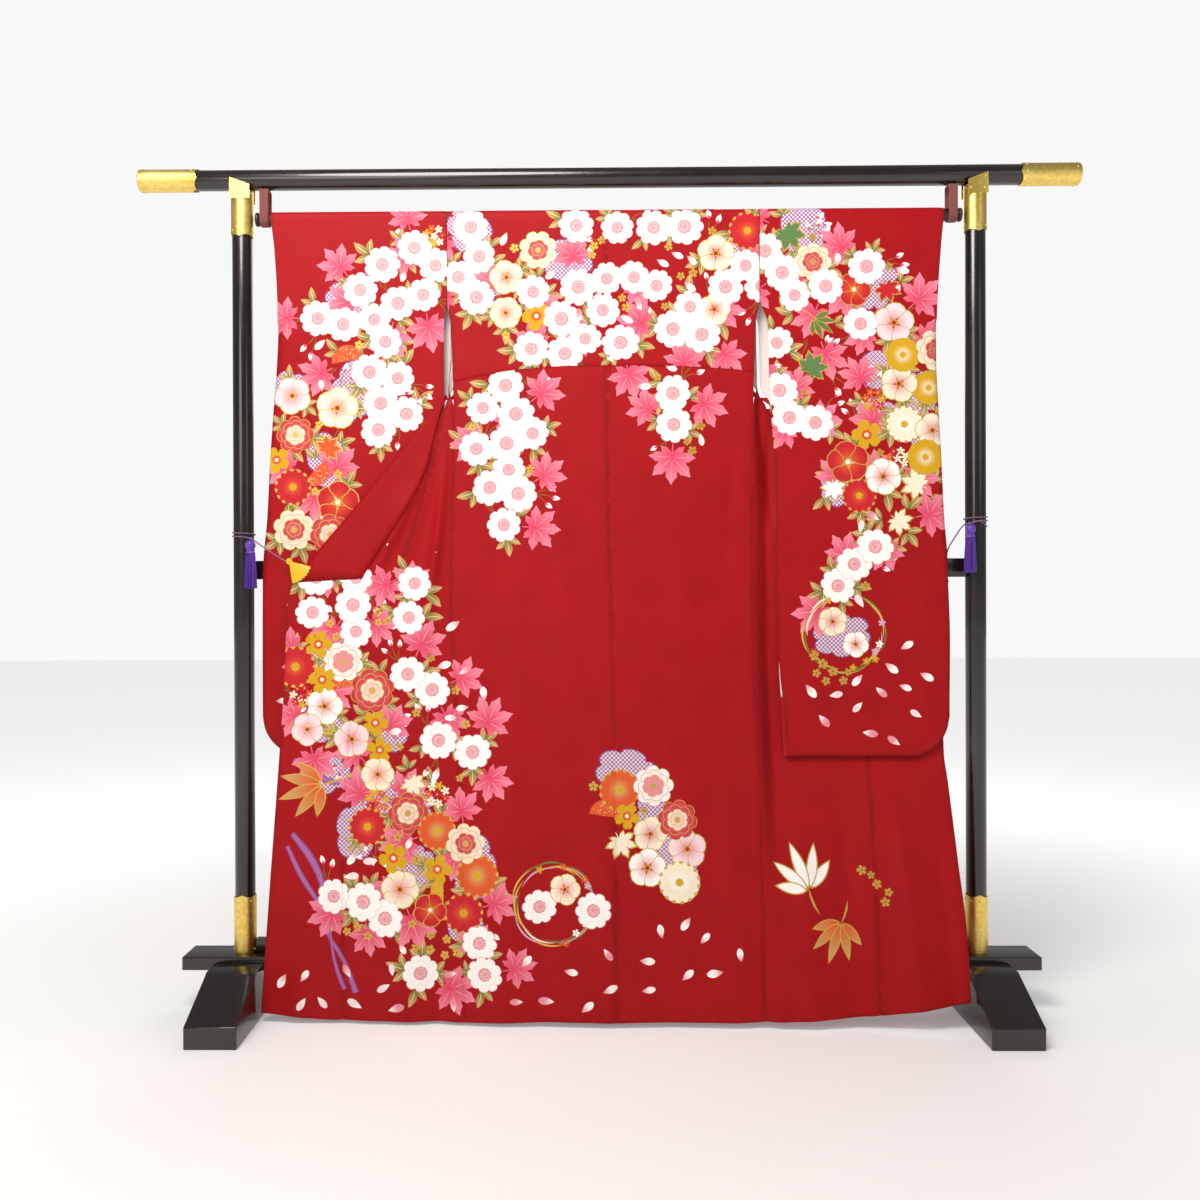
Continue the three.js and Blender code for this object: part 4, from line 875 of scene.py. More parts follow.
def grassRing(rng):
    parts = []
    for k in range(20):
        start = k * 18 + rng.uniform(-5, 5)
        angle = np.radians(np.linspace(start, start + rng.uniform(46, 70), 9))
        middle = 1 + rng.uniform(-0.1, 0.07) + 0.03 * np.sin(np.linspace(0, 3, 9))
        half = 0.024 * np.sin(np.linspace(0.05, math.pi - 0.05, 9))
        outline = np.concatenate([(middle + half) * np.exp(1j * angle),
                                  ((middle - half) * np.exp(1j * angle))[::-1]])
        parts.append(layer(outline, rng.choice(["olive", "gold", "cream", "green", "lilac"])))
    for k in range(9):
        where = np.exp(1j * rng.uniform(0, 6.28)) * rng.uniform(0.9, 1.08)
        shade = rng.choice(["white", "mustard", "orange", "lilac"])
        parts.append(layer(where + blossomShape(5, 0.45, 0, 0.1, 4), shade))
        parts.append(layer(where + blossomShape(4, 0.9, 0, 0.025, 2), "gold"))
    return parts


def groundBlossom(rng):
    parts = [layer(blossomShape(5, 0.42, 0.12, steps=8), "deep")]
    parts.append(layer(scallops(6, 0.1, 0.16, 3), "ground"))
    return parts


motifs = {shape.__name__: shape for shape in (
    cherry, maple, linedMaple, leaves, petal, budSpray, goldFlower, mustardFlower, linedBlossom,
    chrysanthemum, peony, bambooFan, miniCluster, dottedPatch, grainDisc, grassRing, groundBlossom,
)}
print("motifs drawn:", len(motifs))


# where the print goes: bands along a path of (x, z, half width), each filled from big motifs to small

heaps = {  # kind, smallest and largest size, weight
    "patch": (("dottedPatch", 48, 70, 1),),
    "cluster": (("linedBlossom", 33, 44, 5), ("chrysanthemum", 34, 45, 2), ("peony", 38, 48, 2),
                ("mustardFlower", 26, 33, 1)),
    "rich": (("linedMaple", 32, 44, 4), ("miniCluster", 24, 31, 2), ("grainDisc", 25, 33, 1),
             ("bambooFan", 42, 54, 1)),
    "flower": (("cherry", 34, 40, 1),),
    "maple": (("maple", 46, 57, 1),),
    "leaf": (("leaves", 30, 42, 6), ("budSpray", 30, 38, 2)),
    "small": (("goldFlower", 8, 10, 3), ("petal", 13, 17, 4)),
    "gold": (("goldFlower", 8, 11, 1),),
    "petal": (("petal", 14, 18, 1),),
}
levels = {  # drawing order, what it keeps away from, and the least distance as a share of both sizes
    "patch": (1, "patch", 0.8), "cluster": (4.4, "flower", 0.76), "rich": (4, "flower", 0.7),
    "flower": (4.6, "flower", 0.69), "maple": (3, "maple", 0.72), "leaf": (2, "leaf", 0.5),
    "small": (6, "flower", 0.95), "gold": (6, "flower", 1.0), "petal": (6, "flower", 1.4),
}
growFrom = {"maple": (0.85, 0.62), "leaf": (0.85, 0.0)}  # from under a flower: shares of its size and theirs
groundPitch = (120, 104)  # the figure woven into the ground, across and up
bodyBands = [
    {"path": [(-300, 1545, 60), (-170, 1500, 100), (0, 1515, 96), (150, 1490, 110), (300, 1540, 70)],
     "seed": 11, "counts": {"patch": 4, "maple": 11, "cluster": 7, "flower": 18, "leaf": 39, "small": 20}},
    {"path": [(-210, 1388, 36), (-60, 1372, 40), (60, 1380, 30)], "seed": 12,
     "counts": {"maple": 2, "flower": 5, "leaf": 10, "small": 7}},
    {"path": [(110, 1396, 50), (230, 1380, 44)], "seed": 122,
     "counts": {"maple": 2, "flower": 4, "leaf": 9, "small": 4}},
    {"path": [(-258, 1252, 60), (-222, 1180, 70), (-212, 1080, 54), (-232, 970, 20)], "seed": 13,
     "counts": {"maple": 5, "flower": 10, "leaf": 23, "small": 10}},
    {"path": [(96, 1290, 40), (140, 1220, 44), (176, 1140, 20)], "seed": 14,
     "counts": {"maple": 4, "flower": 2, "leaf": 9, "small": 7}},
    {"path": [(-620, 850, 40), (-500, 830, 60), (-380, 830, 50)], "seed": 15,
     "counts": {"maple": 5, "flower": 6, "leaf": 16, "small": 10}},
    {"path": [(-580, 760, 60), (-550, 640, 84), (-500, 510, 90)], "seed": 16,
     "counts": {"patch": 4, "maple": 5, "cluster": 11, "rich": 8, "flower": 4, "leaf": 21, "small": 12}},
    {"path": [(-500, 470, 90), (-420, 390, 96), (-340, 290, 90), (-250, 230, 50)], "seed": 17,
     "counts": {"patch": 5, "maple": 9, "cluster": 11, "rich": 4, "flower": 7, "leaf": 25, "small": 15}},
    {"path": [(-380, 720, 40), (-330, 590, 56), (-290, 460, 56)], "seed": 18,
     "counts": {"maple": 5, "flower": 4, "leaf": 12, "small": 9}},
    {"path": [(-560, 300, 50), (-470, 190, 60), (-380, 130, 50), (-230, 120, 40)], "seed": 19,
     "counts": {"maple": 5, "flower": 6, "leaf": 16, "small": 15}},
    {"path": [(-10, 490, 34), (50, 420, 62), (110, 330, 60), (160, 270, 24)], "seed": 20,
     "counts": {"patch": 4, "cluster": 9, "rich": 9, "gold": 14, "small": 6}},
    {"path": [(330, 330, 40), (430, 260, 70), (540, 220, 50)], "seed": 21, "counts": {"gold": 17}},
    {"path": [(-670, 80, 46), (-300, 60, 30), (20, 110, 66), (250, 170, 60)], "seed": 22,
     "counts": {"petal": 24}},
    {"path": [(-470, 940, 30), (-380, 760, 70), (-260, 640, 40)], "seed": 23, "counts": {"petal": 7}},
]
bodyExtras = [  # single motifs: kind, x, z, size, turn
    ("grassRing", -112, 236, 76, 0), ("cherry", -140, 232, 35, 15), ("linedBlossom", -90, 266, 31, 70),
    ("cherry", -34, 226, 36, 40), ("bambooFan", 392, 262, 100, 112), ("bambooFan", 452, 204, 84, 250),
    ("bambooFan", -574, 470, 96, 200), ("cherry", -600, 812, 36, 10), ("maple", -452, 868, 50, 205),
]
sleeveBands = {
    "left": [
        {"path": [(-335, 1565, 40), (-420, 1500, 64), (-480, 1420, 70), (-560, 1330, 84)], "seed": 31,
         "counts": {"patch": 1, "maple": 9, "rich": 2, "flower": 13, "leaf": 28, "small": 15}},
        {"path": [(-590, 1290, 80), (-610, 1180, 72), (-610, 1060, 66), (-590, 950, 60)], "seed": 32,
         "counts": {"patch": 4, "maple": 5, "cluster": 8, "rich": 5, "flower": 6, "leaf": 21, "small": 12}},
        {"path": [(-430, 1290, 30), (-440, 1180, 34)], "seed": 33,
         "counts": {"flower": 4, "leaf": 8, "small": 4}},
        {"path": [(-560, 880, 80), (-520, 700, 110)], "seed": 34,
         "counts": {"maple": 4, "flower": 6, "leaf": 14, "small": 10}},
        {"path": [(-680, 640, 20), (-520, 560, 40), (-370, 570, 30)], "seed": 35, "counts": {"petal": 10}},
    ],
    "right": [
        {"path": [(345, 1585, 40), (400, 1500, 70), (480, 1440, 80), (600, 1440, 76)], "seed": 41,
         "counts": {"patch": 2, "maple": 11, "cluster": 3, "rich": 3, "flower": 14, "leaf": 32, "small": 16}},
        {"path": [(630, 1360, 50), (600, 1220, 80), (570, 1110, 90), (520, 1010, 80)], "seed": 42,
         "counts": {"patch": 5, "maple": 8, "cluster": 11, "rich": 6, "flower": 10, "leaf": 30, "small": 18}},
        {"path": [(372, 1380, 46), (390, 1260, 50), (380, 1160, 36)], "seed": 43,
         "counts": {"maple": 5, "flower": 4, "rich": 1, "leaf": 12, "small": 6}},
        {"path": [(480, 930, 70), (540, 900, 80)], "seed": 44,
         "counts": {"maple": 2, "flower": 5, "leaf": 10, "small": 6}},
        {"path": [(640, 720, 40), (560, 630, 90), (400, 600, 50)], "seed": 45, "counts": {"petal": 13}},
        {"path": [(400, 690, 40), (480, 670, 20)], "seed": 46, "counts": {"gold": 7}},
    ],
}
sleeveExtras = {
    "left": [("cherry", -540, 1400, 37, 12)],
    "right": [("dottedPatch", 470, 762, 62, 10), ("linedBlossom", 452, 790, 30, 20),
              ("linedBlossom", 498, 744, 27, 60), ("grassRing", 474, 766, 78, 10)],
}


# one motif, turned and moved to its place
def drawMotif(kind, x, z, size, turned, rng):
    parts = motifs[kind](rng)
    move, grow = complex(x, z), size * np.exp(1j * math.radians(turned))
    for part in parts:
        part["points"] = part["points"] * grow + move
        part["centre"] = part["centre"] * grow + move
        part["reach"] *= size
    return {"parts": parts, "place": move, "size": size}


def fillBand(band, placed):
    rng = random.Random(band["seed"])
    path = band["path"]
    steps = [math.dist(a[:2], b[:2]) for a, b in zip(path, path[1:])]
    found = []
    for heap, (order, level, closeness) in levels.items():
        count = band["counts"].get(heap, 0)
        for _ in range(count * 20):
            if count <= 0:
                break
            kind, low, high, _ = rng.choices(heaps[heap], [row[3] for row in heaps[heap]])[0]
            size = rng.uniform(low, high)
            turned = rng.uniform(0, 360)
            hosts = [m for m in found if m["level"] == "flower" and m["size"] > 25]
            if heap in growFrom and hosts:
                host = rng.choice(hosts)
                ofHost, ofSelf = growFrom[heap]
                reach = host["size"] * ofHost + size * ofSelf
                where = host["place"] + reach * np.exp(1j * math.radians(turned))
            else:
                i = rng.choices(range(len(steps)), steps)[0]
                t = rng.random()
                across = rng.uniform(-1, 1) * mix(path[i][2], path[i + 1][2], t)
                start, end = complex(*path[i][:2]), complex(*path[i + 1][:2])
                ahead = end - start
                where = mix(start, end, t) + across * 1j * ahead / abs(ahead)
            near = [p for p in placed if p["level"] == level]
            if any(abs(where - p["place"]) < closeness * (size + p["size"]) for p in near):
                continue
            motif = drawMotif(kind, where.real, where.imag, size, turned, rng)
            motif["level"], motif["order"] = level, order
            placed.append(motif)
            found.append(motif)
            count -= 1
    return found


def makePrint(bands, extras, groundBox, seed):
    rng = random.Random(seed)
    placed, found = [], []
    for kind, x, z, size, turned in extras:
        motif = drawMotif(kind, x, z, size, turned, rng)
        motif["level"], motif["order"] = ("patch", 1) if kind == "dottedPatch" else ("flower", 4.5)
        if kind != "grassRing":
            placed.append(motif)
        found.append(motif)
    for band in bands:
        found += fillBand(band, placed)
    low, high, bottom, top = groundBox
    wide, tall = groundPitch
    for row, z in enumerate(np.arange(bottom, top, tall)):
        for x in np.arange(low + (1 - row % 2) * wide / 2, high, wide):
            motif = drawMotif("groundBlossom", x + rng.uniform(-22, 22), z + rng.uniform(-20, 20),
                              rng.uniform(28, 38), rng.uniform(0, 72), rng)
            motif["order"] = 0
            found.append(motif)
    found.sort(key=lambda m: m["order"])
    return found


# a band of striped ribbon along a path, as flat strips
def drawRibbon(path, width):
    spine = np.array([complex(x, z) for x, z in path])
    t = np.linspace(0, len(spine) - 1, 26)
    fine = np.interp(t, range(len(spine)), spine.real) + 1j * np.interp(t, range(len(spine)), spine.imag)
    padded = np.concatenate([fine[:1], fine[:1], fine, fine[-1:], fine[-1:]])
    fine = np.convolve(padded, np.ones(5) / 5, "valid")
    ahead = np.gradient(fine)
    swell = 0.75 + 0.25 * np.sin(np.linspace(0, 7, len(fine)))
    side = 1j * ahead / np.abs(ahead) * width / 2 * swell
    parts = []
    for half, shade in ((1.0, "purple"), (0.9, "ribbon"), (0.34, "lilac"), (0.22, "ribbon")):
        parts.append(layer(np.concatenate([fine - side * half, (fine + side * half)[::-1]]), shade))
    centre = fine[len(fine) // 2]
    return {"parts": parts, "place": centre, "size": float(np.max(np.abs(fine - centre))) + width,
            "order": 2.5}


# meshes of cloth

def makeObject(name, mesh, nodes, shades):
    piece = bpy.data.objects.new(name, mesh)
    scene.collection.objects.link(piece)
    for shade in shades:
        mesh.materials.append(materials[shade])
    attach(piece, "root")
    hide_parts(*nodes)
    return piece


# the same outline, running anticlockwise
def turnedLeft(outline):
    area = float(np.sum(outline.real * np.roll(outline.imag, -1) - np.roll(outline.real, -1) * outline.imag))
    return outline if area > 0 else outline[::-1]


# the outline as evenly spaced points, and flat points inside it
def flatPoints(outline, spacing):
    dense = []
    for a, b in zip(outline, np.roll(outline, -1)):
        count = max(1, int(round(abs(b - a) / spacing)))
        dense += [mix(a, b, i / count) for i in range(count)]
    dense = np.array(dense)
    low, high = complex(dense.real.min(), dense.imag.min()), complex(dense.real.max(), dense.imag.max())
    grid = []
    for j, z in enumerate(np.arange(low.imag, high.imag, spacing * 0.866)):
        grid += [complex(x, z) for x in np.arange(low.real + (j % 2) * spacing / 2, high.real, spacing)]
    return dense, np.array(grid)


def insideOf(points, outline):
    inside = np.zeros(len(points), bool)
    distance = np.full(len(points), 1e9)
    for a, b in zip(outline, np.roll(outline, -1)):
        crosses = (a.imag > points.imag) != (b.imag > points.imag)
        slant = (b.real - a.real) * (points.imag - a.imag) / ((b.imag - a.imag) or 1e-12) + a.real
        inside ^= crosses & (points.real < slant)
        along = b - a
        t = np.clip(((points - a) * np.conj(along)).real / (abs(along) ** 2 + 1e-12), 0, 1)
        distance = np.minimum(distance, np.abs(points - a - t * along))
    return inside, distance


# triangles over the cut, its outline as face 0 and the shapes after it, with the faces each one lies in
def cutFlat(dense, grid, shapes, strips):
    points = [Vector((p.real, p.imag)) for p in dense]
    faces = [list(range(len(dense)))]
    for outline in shapes:
        faces.append(list(range(len(points), len(points) + len(outline))))
        points += [Vector((p.real, p.imag)) for p in outline]
    edges = []
    for strip in strips:
        first = len(points)
        points += [Vector((p.real, p.imag)) for p in strip]
        edges += [(first + i, first + i + 1) for i in range(len(strip) - 1)]
    points += [Vector((p.real, p.imag)) for p in grid]
    flat, _, triangles, _, _, sources = delaunay_2d_cdt(points, edges, faces, 0, 1e-4, True)
    flat = np.array([(p.x, p.y) for p in flat])
    kept = [(t, s) for t, s in zip(triangles, sources) if 0 in s and len(t) == 3]
    return flat, np.array([t for t, _ in kept]), [s for _, s in kept]


def surfaceAt(place, flat):
    x, v, step = flat[:, 0], flat[:, 1], 0.4
    centre = place(x, v)
    alongX = place(x + step, v) - place(x - step, v)
    alongV = place(x, v + step) - place(x, v - step)
    normal = np.cross(alongX, alongV)
    length = np.linalg.norm(normal, axis=1, keepdims=True)
    normal = np.where(length > 1e-9, normal / np.maximum(length, 1e-9), (0, -1, 0))
    return centre, normal


def spotKey(p):
    return round(p[0], 2), round(p[1], 2)


# the shapes of the motifs that reach a cut, and the zone that each one's centre lies in
def motifsOn(outline, design, zone):
    low, high = outline.real.min(), outline.real.max()
    bottom, top = outline.imag.min(), outline.imag.max()
    parts, zones = [], []
    for motif in design:
        at, size = motif["place"], motif["size"] * 1.1
        if low - size < at.real < high + size and bottom - size < at.imag < top + size:
            here = zone(np.array([at.real]), np.array([at.imag]))[0] if zone else 0
            parts += motif["parts"]
            zones += [here] * len(motif["parts"])
    return parts, zones


# a cut piece: printed outside, lining inside and an edge between them. Where there is a zone, above or
# below the tuck, a motif shows only in its own one.
def printedSheet(name, nodes, outline, place, design, outside=1, strips=(), zone=None, spacing=9.0):
    outline = turnedLeft(np.array(outline, complex))
    dense, grid = flatPoints(outline, spacing)
    inside, distance = insideOf(grid, dense)
    grid = grid[inside & (distance > 0.5 * spacing)]
    parts, zones = motifsOn(outline, design, zone)
    shapes = [turnedLeft(part["points"]) for part in parts]
    flat, triangles, sources = cutFlat(dense, grid, shapes, strips)
    inner, coarse, _ = cutFlat(dense, grid, [], strips)
    tops = [max(s) for s in sources]
    if zone:
        middles = flat[triangles].mean(axis=1)
        zoneHere = zone(middles[:, 0], middles[:, 1])
        tops = [max([i for i in s if i == 0 or zones[i - 1] == here]) for s, here in zip(sources, zoneHere)]
    centre, normal = surfaceAt(place, flat)
    innerCentre, innerNormal = surfaceAt(place, inner)
    normal, innerNormal = normal * outside, innerNormal * outside
    upper = centre + normal * clothThickness / 2
    lower = innerCentre - innerNormal * clothThickness / 2
    count = len(upper)
    sides = dict.fromkeys(pair for t in triangles for pair in ((t[0], t[1]), (t[1], t[2]), (t[2], t[0])))
    border = [(a, b) for a, b in sides if (b, a) not in sides]
    ground = dyeColours["ground"]
    # painted shade: the cloth's colour is darkened at the points on the piece's edges
    seam = np.ones(len(flat))
    seam[list({i for pair in border for i in pair})] = seamPaintedShade
    faces, shade, corners, dyeValues, finishValues = [], [], [], [], []

    def addFace(points, material, normals, colours, marks=(0, 0, 0, 1)):
        faces.append(tuple(int(i) for i in points))
        shade.append(material)
        corners.extend(normals)
        dyeValues.extend(colours)
        finishValues.extend([marks] * len(points))

    def dyeAt(i, part):
        if part is None:
            return ground * seam[i]
        share = min(1.0, abs(complex(*flat[i]) - part["centre"]) / part["reach"])
        share = share * share * (3 - 2 * share)
        colour = dyeColours[part["inner"]] * (1 - share) + dyeColours[part["outer"]] * share
        return colour * (1 - (1 - seam[i]) * 0.6)  # the motifs take less of the painted edge shade than the ground

    for t, best in zip(triangles, tops):
        order = t if outside > 0 else t[::-1]
        part = parts[best - 1] if best else None
        marks = (part["dots"], part["gold"], 0, 1) if part else (0, 0, 0, 1)
        addFace(order, 0, normal[order], [dyeAt(i, part) for i in order], marks)
    for t in coarse:
        order = t[::-1] if outside > 0 else t
        addFace(order + count, 1, -innerNormal[order], [ground] * 3)
    innerAt = {}
    for i, p in enumerate(inner):
        innerAt.setdefault(spotKey(p), i)
    innerOf = {}  # the lining's point under each point of the border
    for a, b in border:
        for i in (a, b):
            if spotKey(flat[i]) in innerAt:
                innerOf[i] = innerAt[spotKey(flat[i])] + count
            elif i not in innerOf:
                innerOf[i] = count + int(np.argmin(np.hypot(*(inner - flat[i]).T)))
    every = np.concatenate([upper, lower])
    for a, b in border:
        quad = [a, innerOf[a], innerOf[b], b] if outside > 0 else [b, innerOf[b], innerOf[a], a]
        if innerOf[a] == innerOf[b]:
            quad = [q for k, q in enumerate(quad) if quad.index(q) == k]
        side = np.cross(every[quad[1]] - every[quad[0]], every[quad[2]] - every[quad[0]])
        side = side / (np.linalg.norm(side) + 1e-12)
        addFace(quad, 0, [side] * len(quad), [ground] * len(quad))
    mesh = bpy.data.meshes.new(name)
    mesh.from_pydata((every * mm).tolist(), [], faces)
    mesh.polygons.foreach_set("material_index", shade)
    mesh.polygons.foreach_set("use_smooth", [True] * len(faces))
    dye = mesh.attributes.new("dye", "FLOAT_COLOR", "CORNER")
    dye.data.foreach_set("color", np.array(dyeValues, np.float32).ravel())
    finish = mesh.attributes.new("finish", "FLOAT_COLOR", "CORNER")
    finish.data.foreach_set("color", np.array(finishValues, np.float32).ravel())
    cut = mesh.uv_layers.new(name="cut")
    flatAll = np.concatenate([flat, inner])[[i for face in faces for i in face]] * mm
    cut.data.foreach_set("uv", flatAll.astype(np.float32).ravel())
    mesh.normals_split_custom_set([tuple(n) for n in corners])
    piece = makeObject(name, mesh, nodes, ("printedSilk", "lining"))
    print(name, len(faces), "faces")
    return piece


# the cut pieces of the garment

def edgePath(edge, low, high, spacing=9):
    z = np.linspace(low, high, max(2, int(abs(high - low) / spacing) + 1))
    return edge(z) + 1j * z


def hemHeight(x):
    return readTable(hemTable, "z", x)


# a panel's outline: one long edge up, others and at last one down, then the hem between their feet
def panelOutline(edges, hemPoints):
    up, down = edges[0], edges[-1]
    up[0] = up[0].real + 1j * hemHeight(up[0].real)
    down[-1] = down[-1].real + 1j * hemHeight(down[-1].real)
    low = np.linspace(down[-1].real, up[0].real, hemPoints)[1:-1]
    return np.concatenate([*edges, low + 1j * hemHeight(low)])


def seamGroove(distance):
    return 1.5 * np.exp(-distance / 2.8)


def backPanel(side, design):
    sign = signs[side]

    def place(x, v):
        spot = backPlace(side, x, v)
        z = np.minimum(v, rod["height"])
        fromCentre = np.abs(x - readTable(backTable, "centreX", z))
        fromSide = np.abs(x - readTable(backTable, side + "X", z))
        spot[:, 1] += seamGroove(fromCentre) + seamGroove(fromSide)
        return spot

    def zone(x, v):
        return (v > tuckLine(side, backAcross(side, x, v)) - 1.0).astype(int)

    centre = edgePath(lambda z: readTable(backTable, "centreX", z) - sign * 0.05, 10, crest - 0.02)
    outer = edgePath(lambda z: readTable(backTable, side + "X", z), crest - 0.02, 10)
    outline = panelOutline([centre, outer], 36)
    across = np.linspace(-0.02, 1.02, 60)
    level = np.full(len(across), 1300.0)
    spine = mix(readTable(backTable, "centreX", level), readTable(backTable, side + "X", level), across)
    line = spine + 1j * tuckLine(side, across)
    strips = [line - 1.0j, line + 1.0j, line + 5j]  # points along the tuck, so that its lip stays crisp
    piece = printedSheet("backPanel" + side.capitalize(), ["body_" + side], outline, place, design,
                         strips=strips, zone=zone)


def frontPanel(side, design):
    sign = signs[side]
    gather = np.array(gatherTable[side][-1], float)
    tip = 24  # the cloth above the armpit that runs up into the gathers

    def seamX(z):
        return readTable(frontTable[side], "overlapX", np.minimum(z, armpit))

    def sideX(z):
        return readTable(backTable, side + "X", np.minimum(z, armpit))

    def place(x, v):
        z = np.minimum(v, armpit)
        spot = frontPlace(side, x, z)
        spot[:, 1] += seamGroove(np.abs(x - sideX(z))) + seamGroove(np.abs(x - seamX(z)))
        inner, outer = seamX(np.full_like(x, armpit)), sideX(np.full_like(x, armpit))
        s = np.clip((x - inner) / (outer - inner), 0, 1)[:, None]
        target = mix(gather[None, :3], gather[None, 3:], s)
        rise = np.clip((v - armpit) / tip, 0, 1)[:, None]
        return np.where(rise > 0, mix(spot, target, 0.95 * rise), spot)

    seam = edgePath(lambda z: seamX(z) - sign * 0.02, 10, armpit + tip)
    outer = edgePath(lambda z: sideX(z) + sign * 0.05, armpit + tip, 10)
    outline = panelOutline([seam, outer], 26)
    piece = printedSheet("frontPanel" + side.capitalize(), ["front_" + side], outline, place, design,
                         spacing=7.0)


collarEnd = {"seam": 880, "edge": 872.5}  # heights where the collar ends on the opened fronts
overlapTip = 1226


def overlapPanel(side, design):
    sign = signs[side]
    table = frontTable[side]

    def place(x, v):
        spot = frontPlace(side, x, v)
        spot[:, 1] += seamGroove(np.abs(x - readTable(table, "overlapX", v)))
        fromCollar = np.abs(x - readTable(table, "collarX", np.maximum(v, collarEnd["seam"])))
        spot[:, 1] += np.where(v > collarEnd["seam"] - 2, seamGroove(fromCollar), 0)
        return spot

    seam = edgePath(lambda z: readTable(table, "overlapX", z) + sign * 0.02, 10, overlapTip)
    collarSeam = edgePath(lambda z: readTable(table, "collarX", z) - sign * 0.02, overlapTip,
                          collarEnd["seam"])
    corner = readTable(table, "edgeX", np.array([collarEnd["edge"]]))[0] + 1j * collarEnd["edge"]
    underCollar = np.linspace(collarSeam[-1], corner, 16)[1:-1]
    free = edgePath(lambda z: readTable(table, "edgeX", z), collarEnd["edge"], 20)
    outline = panelOutline([seam, collarSeam, underCollar, free], 20)
    piece = printedSheet("overlapPanel" + side.capitalize(), ["overlap_" + side], outline, place, design)


upperLook = {"width": 242.0, "depths": (0.5, 3.8, 6.6, 6.0, 3.4, 0.6)}  # depths of the gathers, going down


# the far side over the rod and the cloth drawn together under the collar, down to the armpit
def upperFront(side, design):
    sign = signs[side]
    level = np.array([float(rod["height"])])
    start = readTable(backTable, "centreX", level)[0]
    end = readTable(backTable, side + "X", level)[0]
    rows = []
    for i in range(5):
        angle = math.pi / 2 * (1 + i / 4)
        y, z = -rod["drape"] * math.cos(angle), rod["height"] + rod["drape"] * math.sin(angle)
        rows.append((rod["drape"] * (angle - math.pi / 2), start + sign * 0.4, y, z, end, y, z, 0.0))
    for section, depth in zip(gatherTable[side], upperLook["depths"]):
        along = rows[-1][0] + math.dist(rows[-1][4:7], section[3:])
        rows.append((along, *section, depth))
    table = {"columns": ("v", "ax", "ay", "az", "bx", "by", "bz", "depth"), "rows": rows}
    width = upperLook["width"]

    def place(x, v):
        s = np.clip(x / width, 0, 1)
        low = np.stack([readTable(table, c, v) for c in ("ax", "ay", "az")], 1)
        high = np.stack([readTable(table, c, v) for c in ("bx", "by", "bz")], 1)
        spot = mix(low, high, s[:, None])
        wave = np.sin(11 * math.pi * s + 0.004 * v) * (0.8 + 0.2 * np.sin(11 * s + 1)) - 0.8
        spot[:, 1] += readTable(table, "depth", v) * wave
        return spot

    edge = np.linspace(0.02, along - 0.5, 44)
    across = np.linspace(0, width, 28)
    outline = np.concatenate([across[:-1] + 0.02j, width + 1j * edge[:-1],
                              across[::-1][:-1] + 1j * (along - 0.5), 1j * edge[::-1][:-1]])
    piece = printedSheet("upperFront" + side.capitalize(), ["shoulder_" + side], outline, place, design,
                         outside=sign)


openings = {  # body edges moved so that the lining shows: amount, height and fade at the top, at the foot
    "far left": [(13, 1530, 70, 1236, 40)],
    "far right": [(-16, 1500, 70, 1240, 30), (6, 1250, 30, 690, 60)],
    "near right": [(5, 690, 90, 0, 1)],
}


def sleeveWall(side, far, design):
    sign = signs[side]
    table = sleeveTable[side]

    def inner(z):
        x = readTable(table, "innerX", np.minimum(z, rod["height"]))
        for amount, top, topFade, foot, footFade in openings.get(("far " if far else "near ") + side, ()):
            x = x + amount * smooth((top - z) / topFade) * smooth((z - foot) / footFade)
        return x

    def outer(z):
        return readTable(table, "outerX", np.minimum(z, rod["height"])) - sign * 0.3

    def place(x, v):
        return sleevePlace(side, far, x, v)

    low, corner = sleeve["bottom"], sleeve["corner"]
    top = crest - 0.02
    bodyEdge = edgePath(inner, top, low)
    outEdge = edgePath(outer, low + corner, top)
    startX, endX = bodyEdge[-1].real, outer(np.array([low]))[0]
    flatLow = np.linspace(startX, endX - sign * corner, 30)[1:] + 1j * low
    turned = np.radians(np.linspace(0, 90, 12))[1:-1]
    bend = endX - sign * corner * (1 - np.sin(turned)) + 1j * (low + corner * (1 - np.cos(turned)))
    outline = np.concatenate([bodyEdge, flatLow, bend, outEdge])
    name = ("sleeveFront" if far else "sleeveBack") + side.capitalize()
    node = ("sleeve_front_" if far else "sleeve_") + side
    piece = printedSheet(name, [node], outline, place, design, outside=-1 if far else 1,
                         spacing=11.0 if far else 9.0)


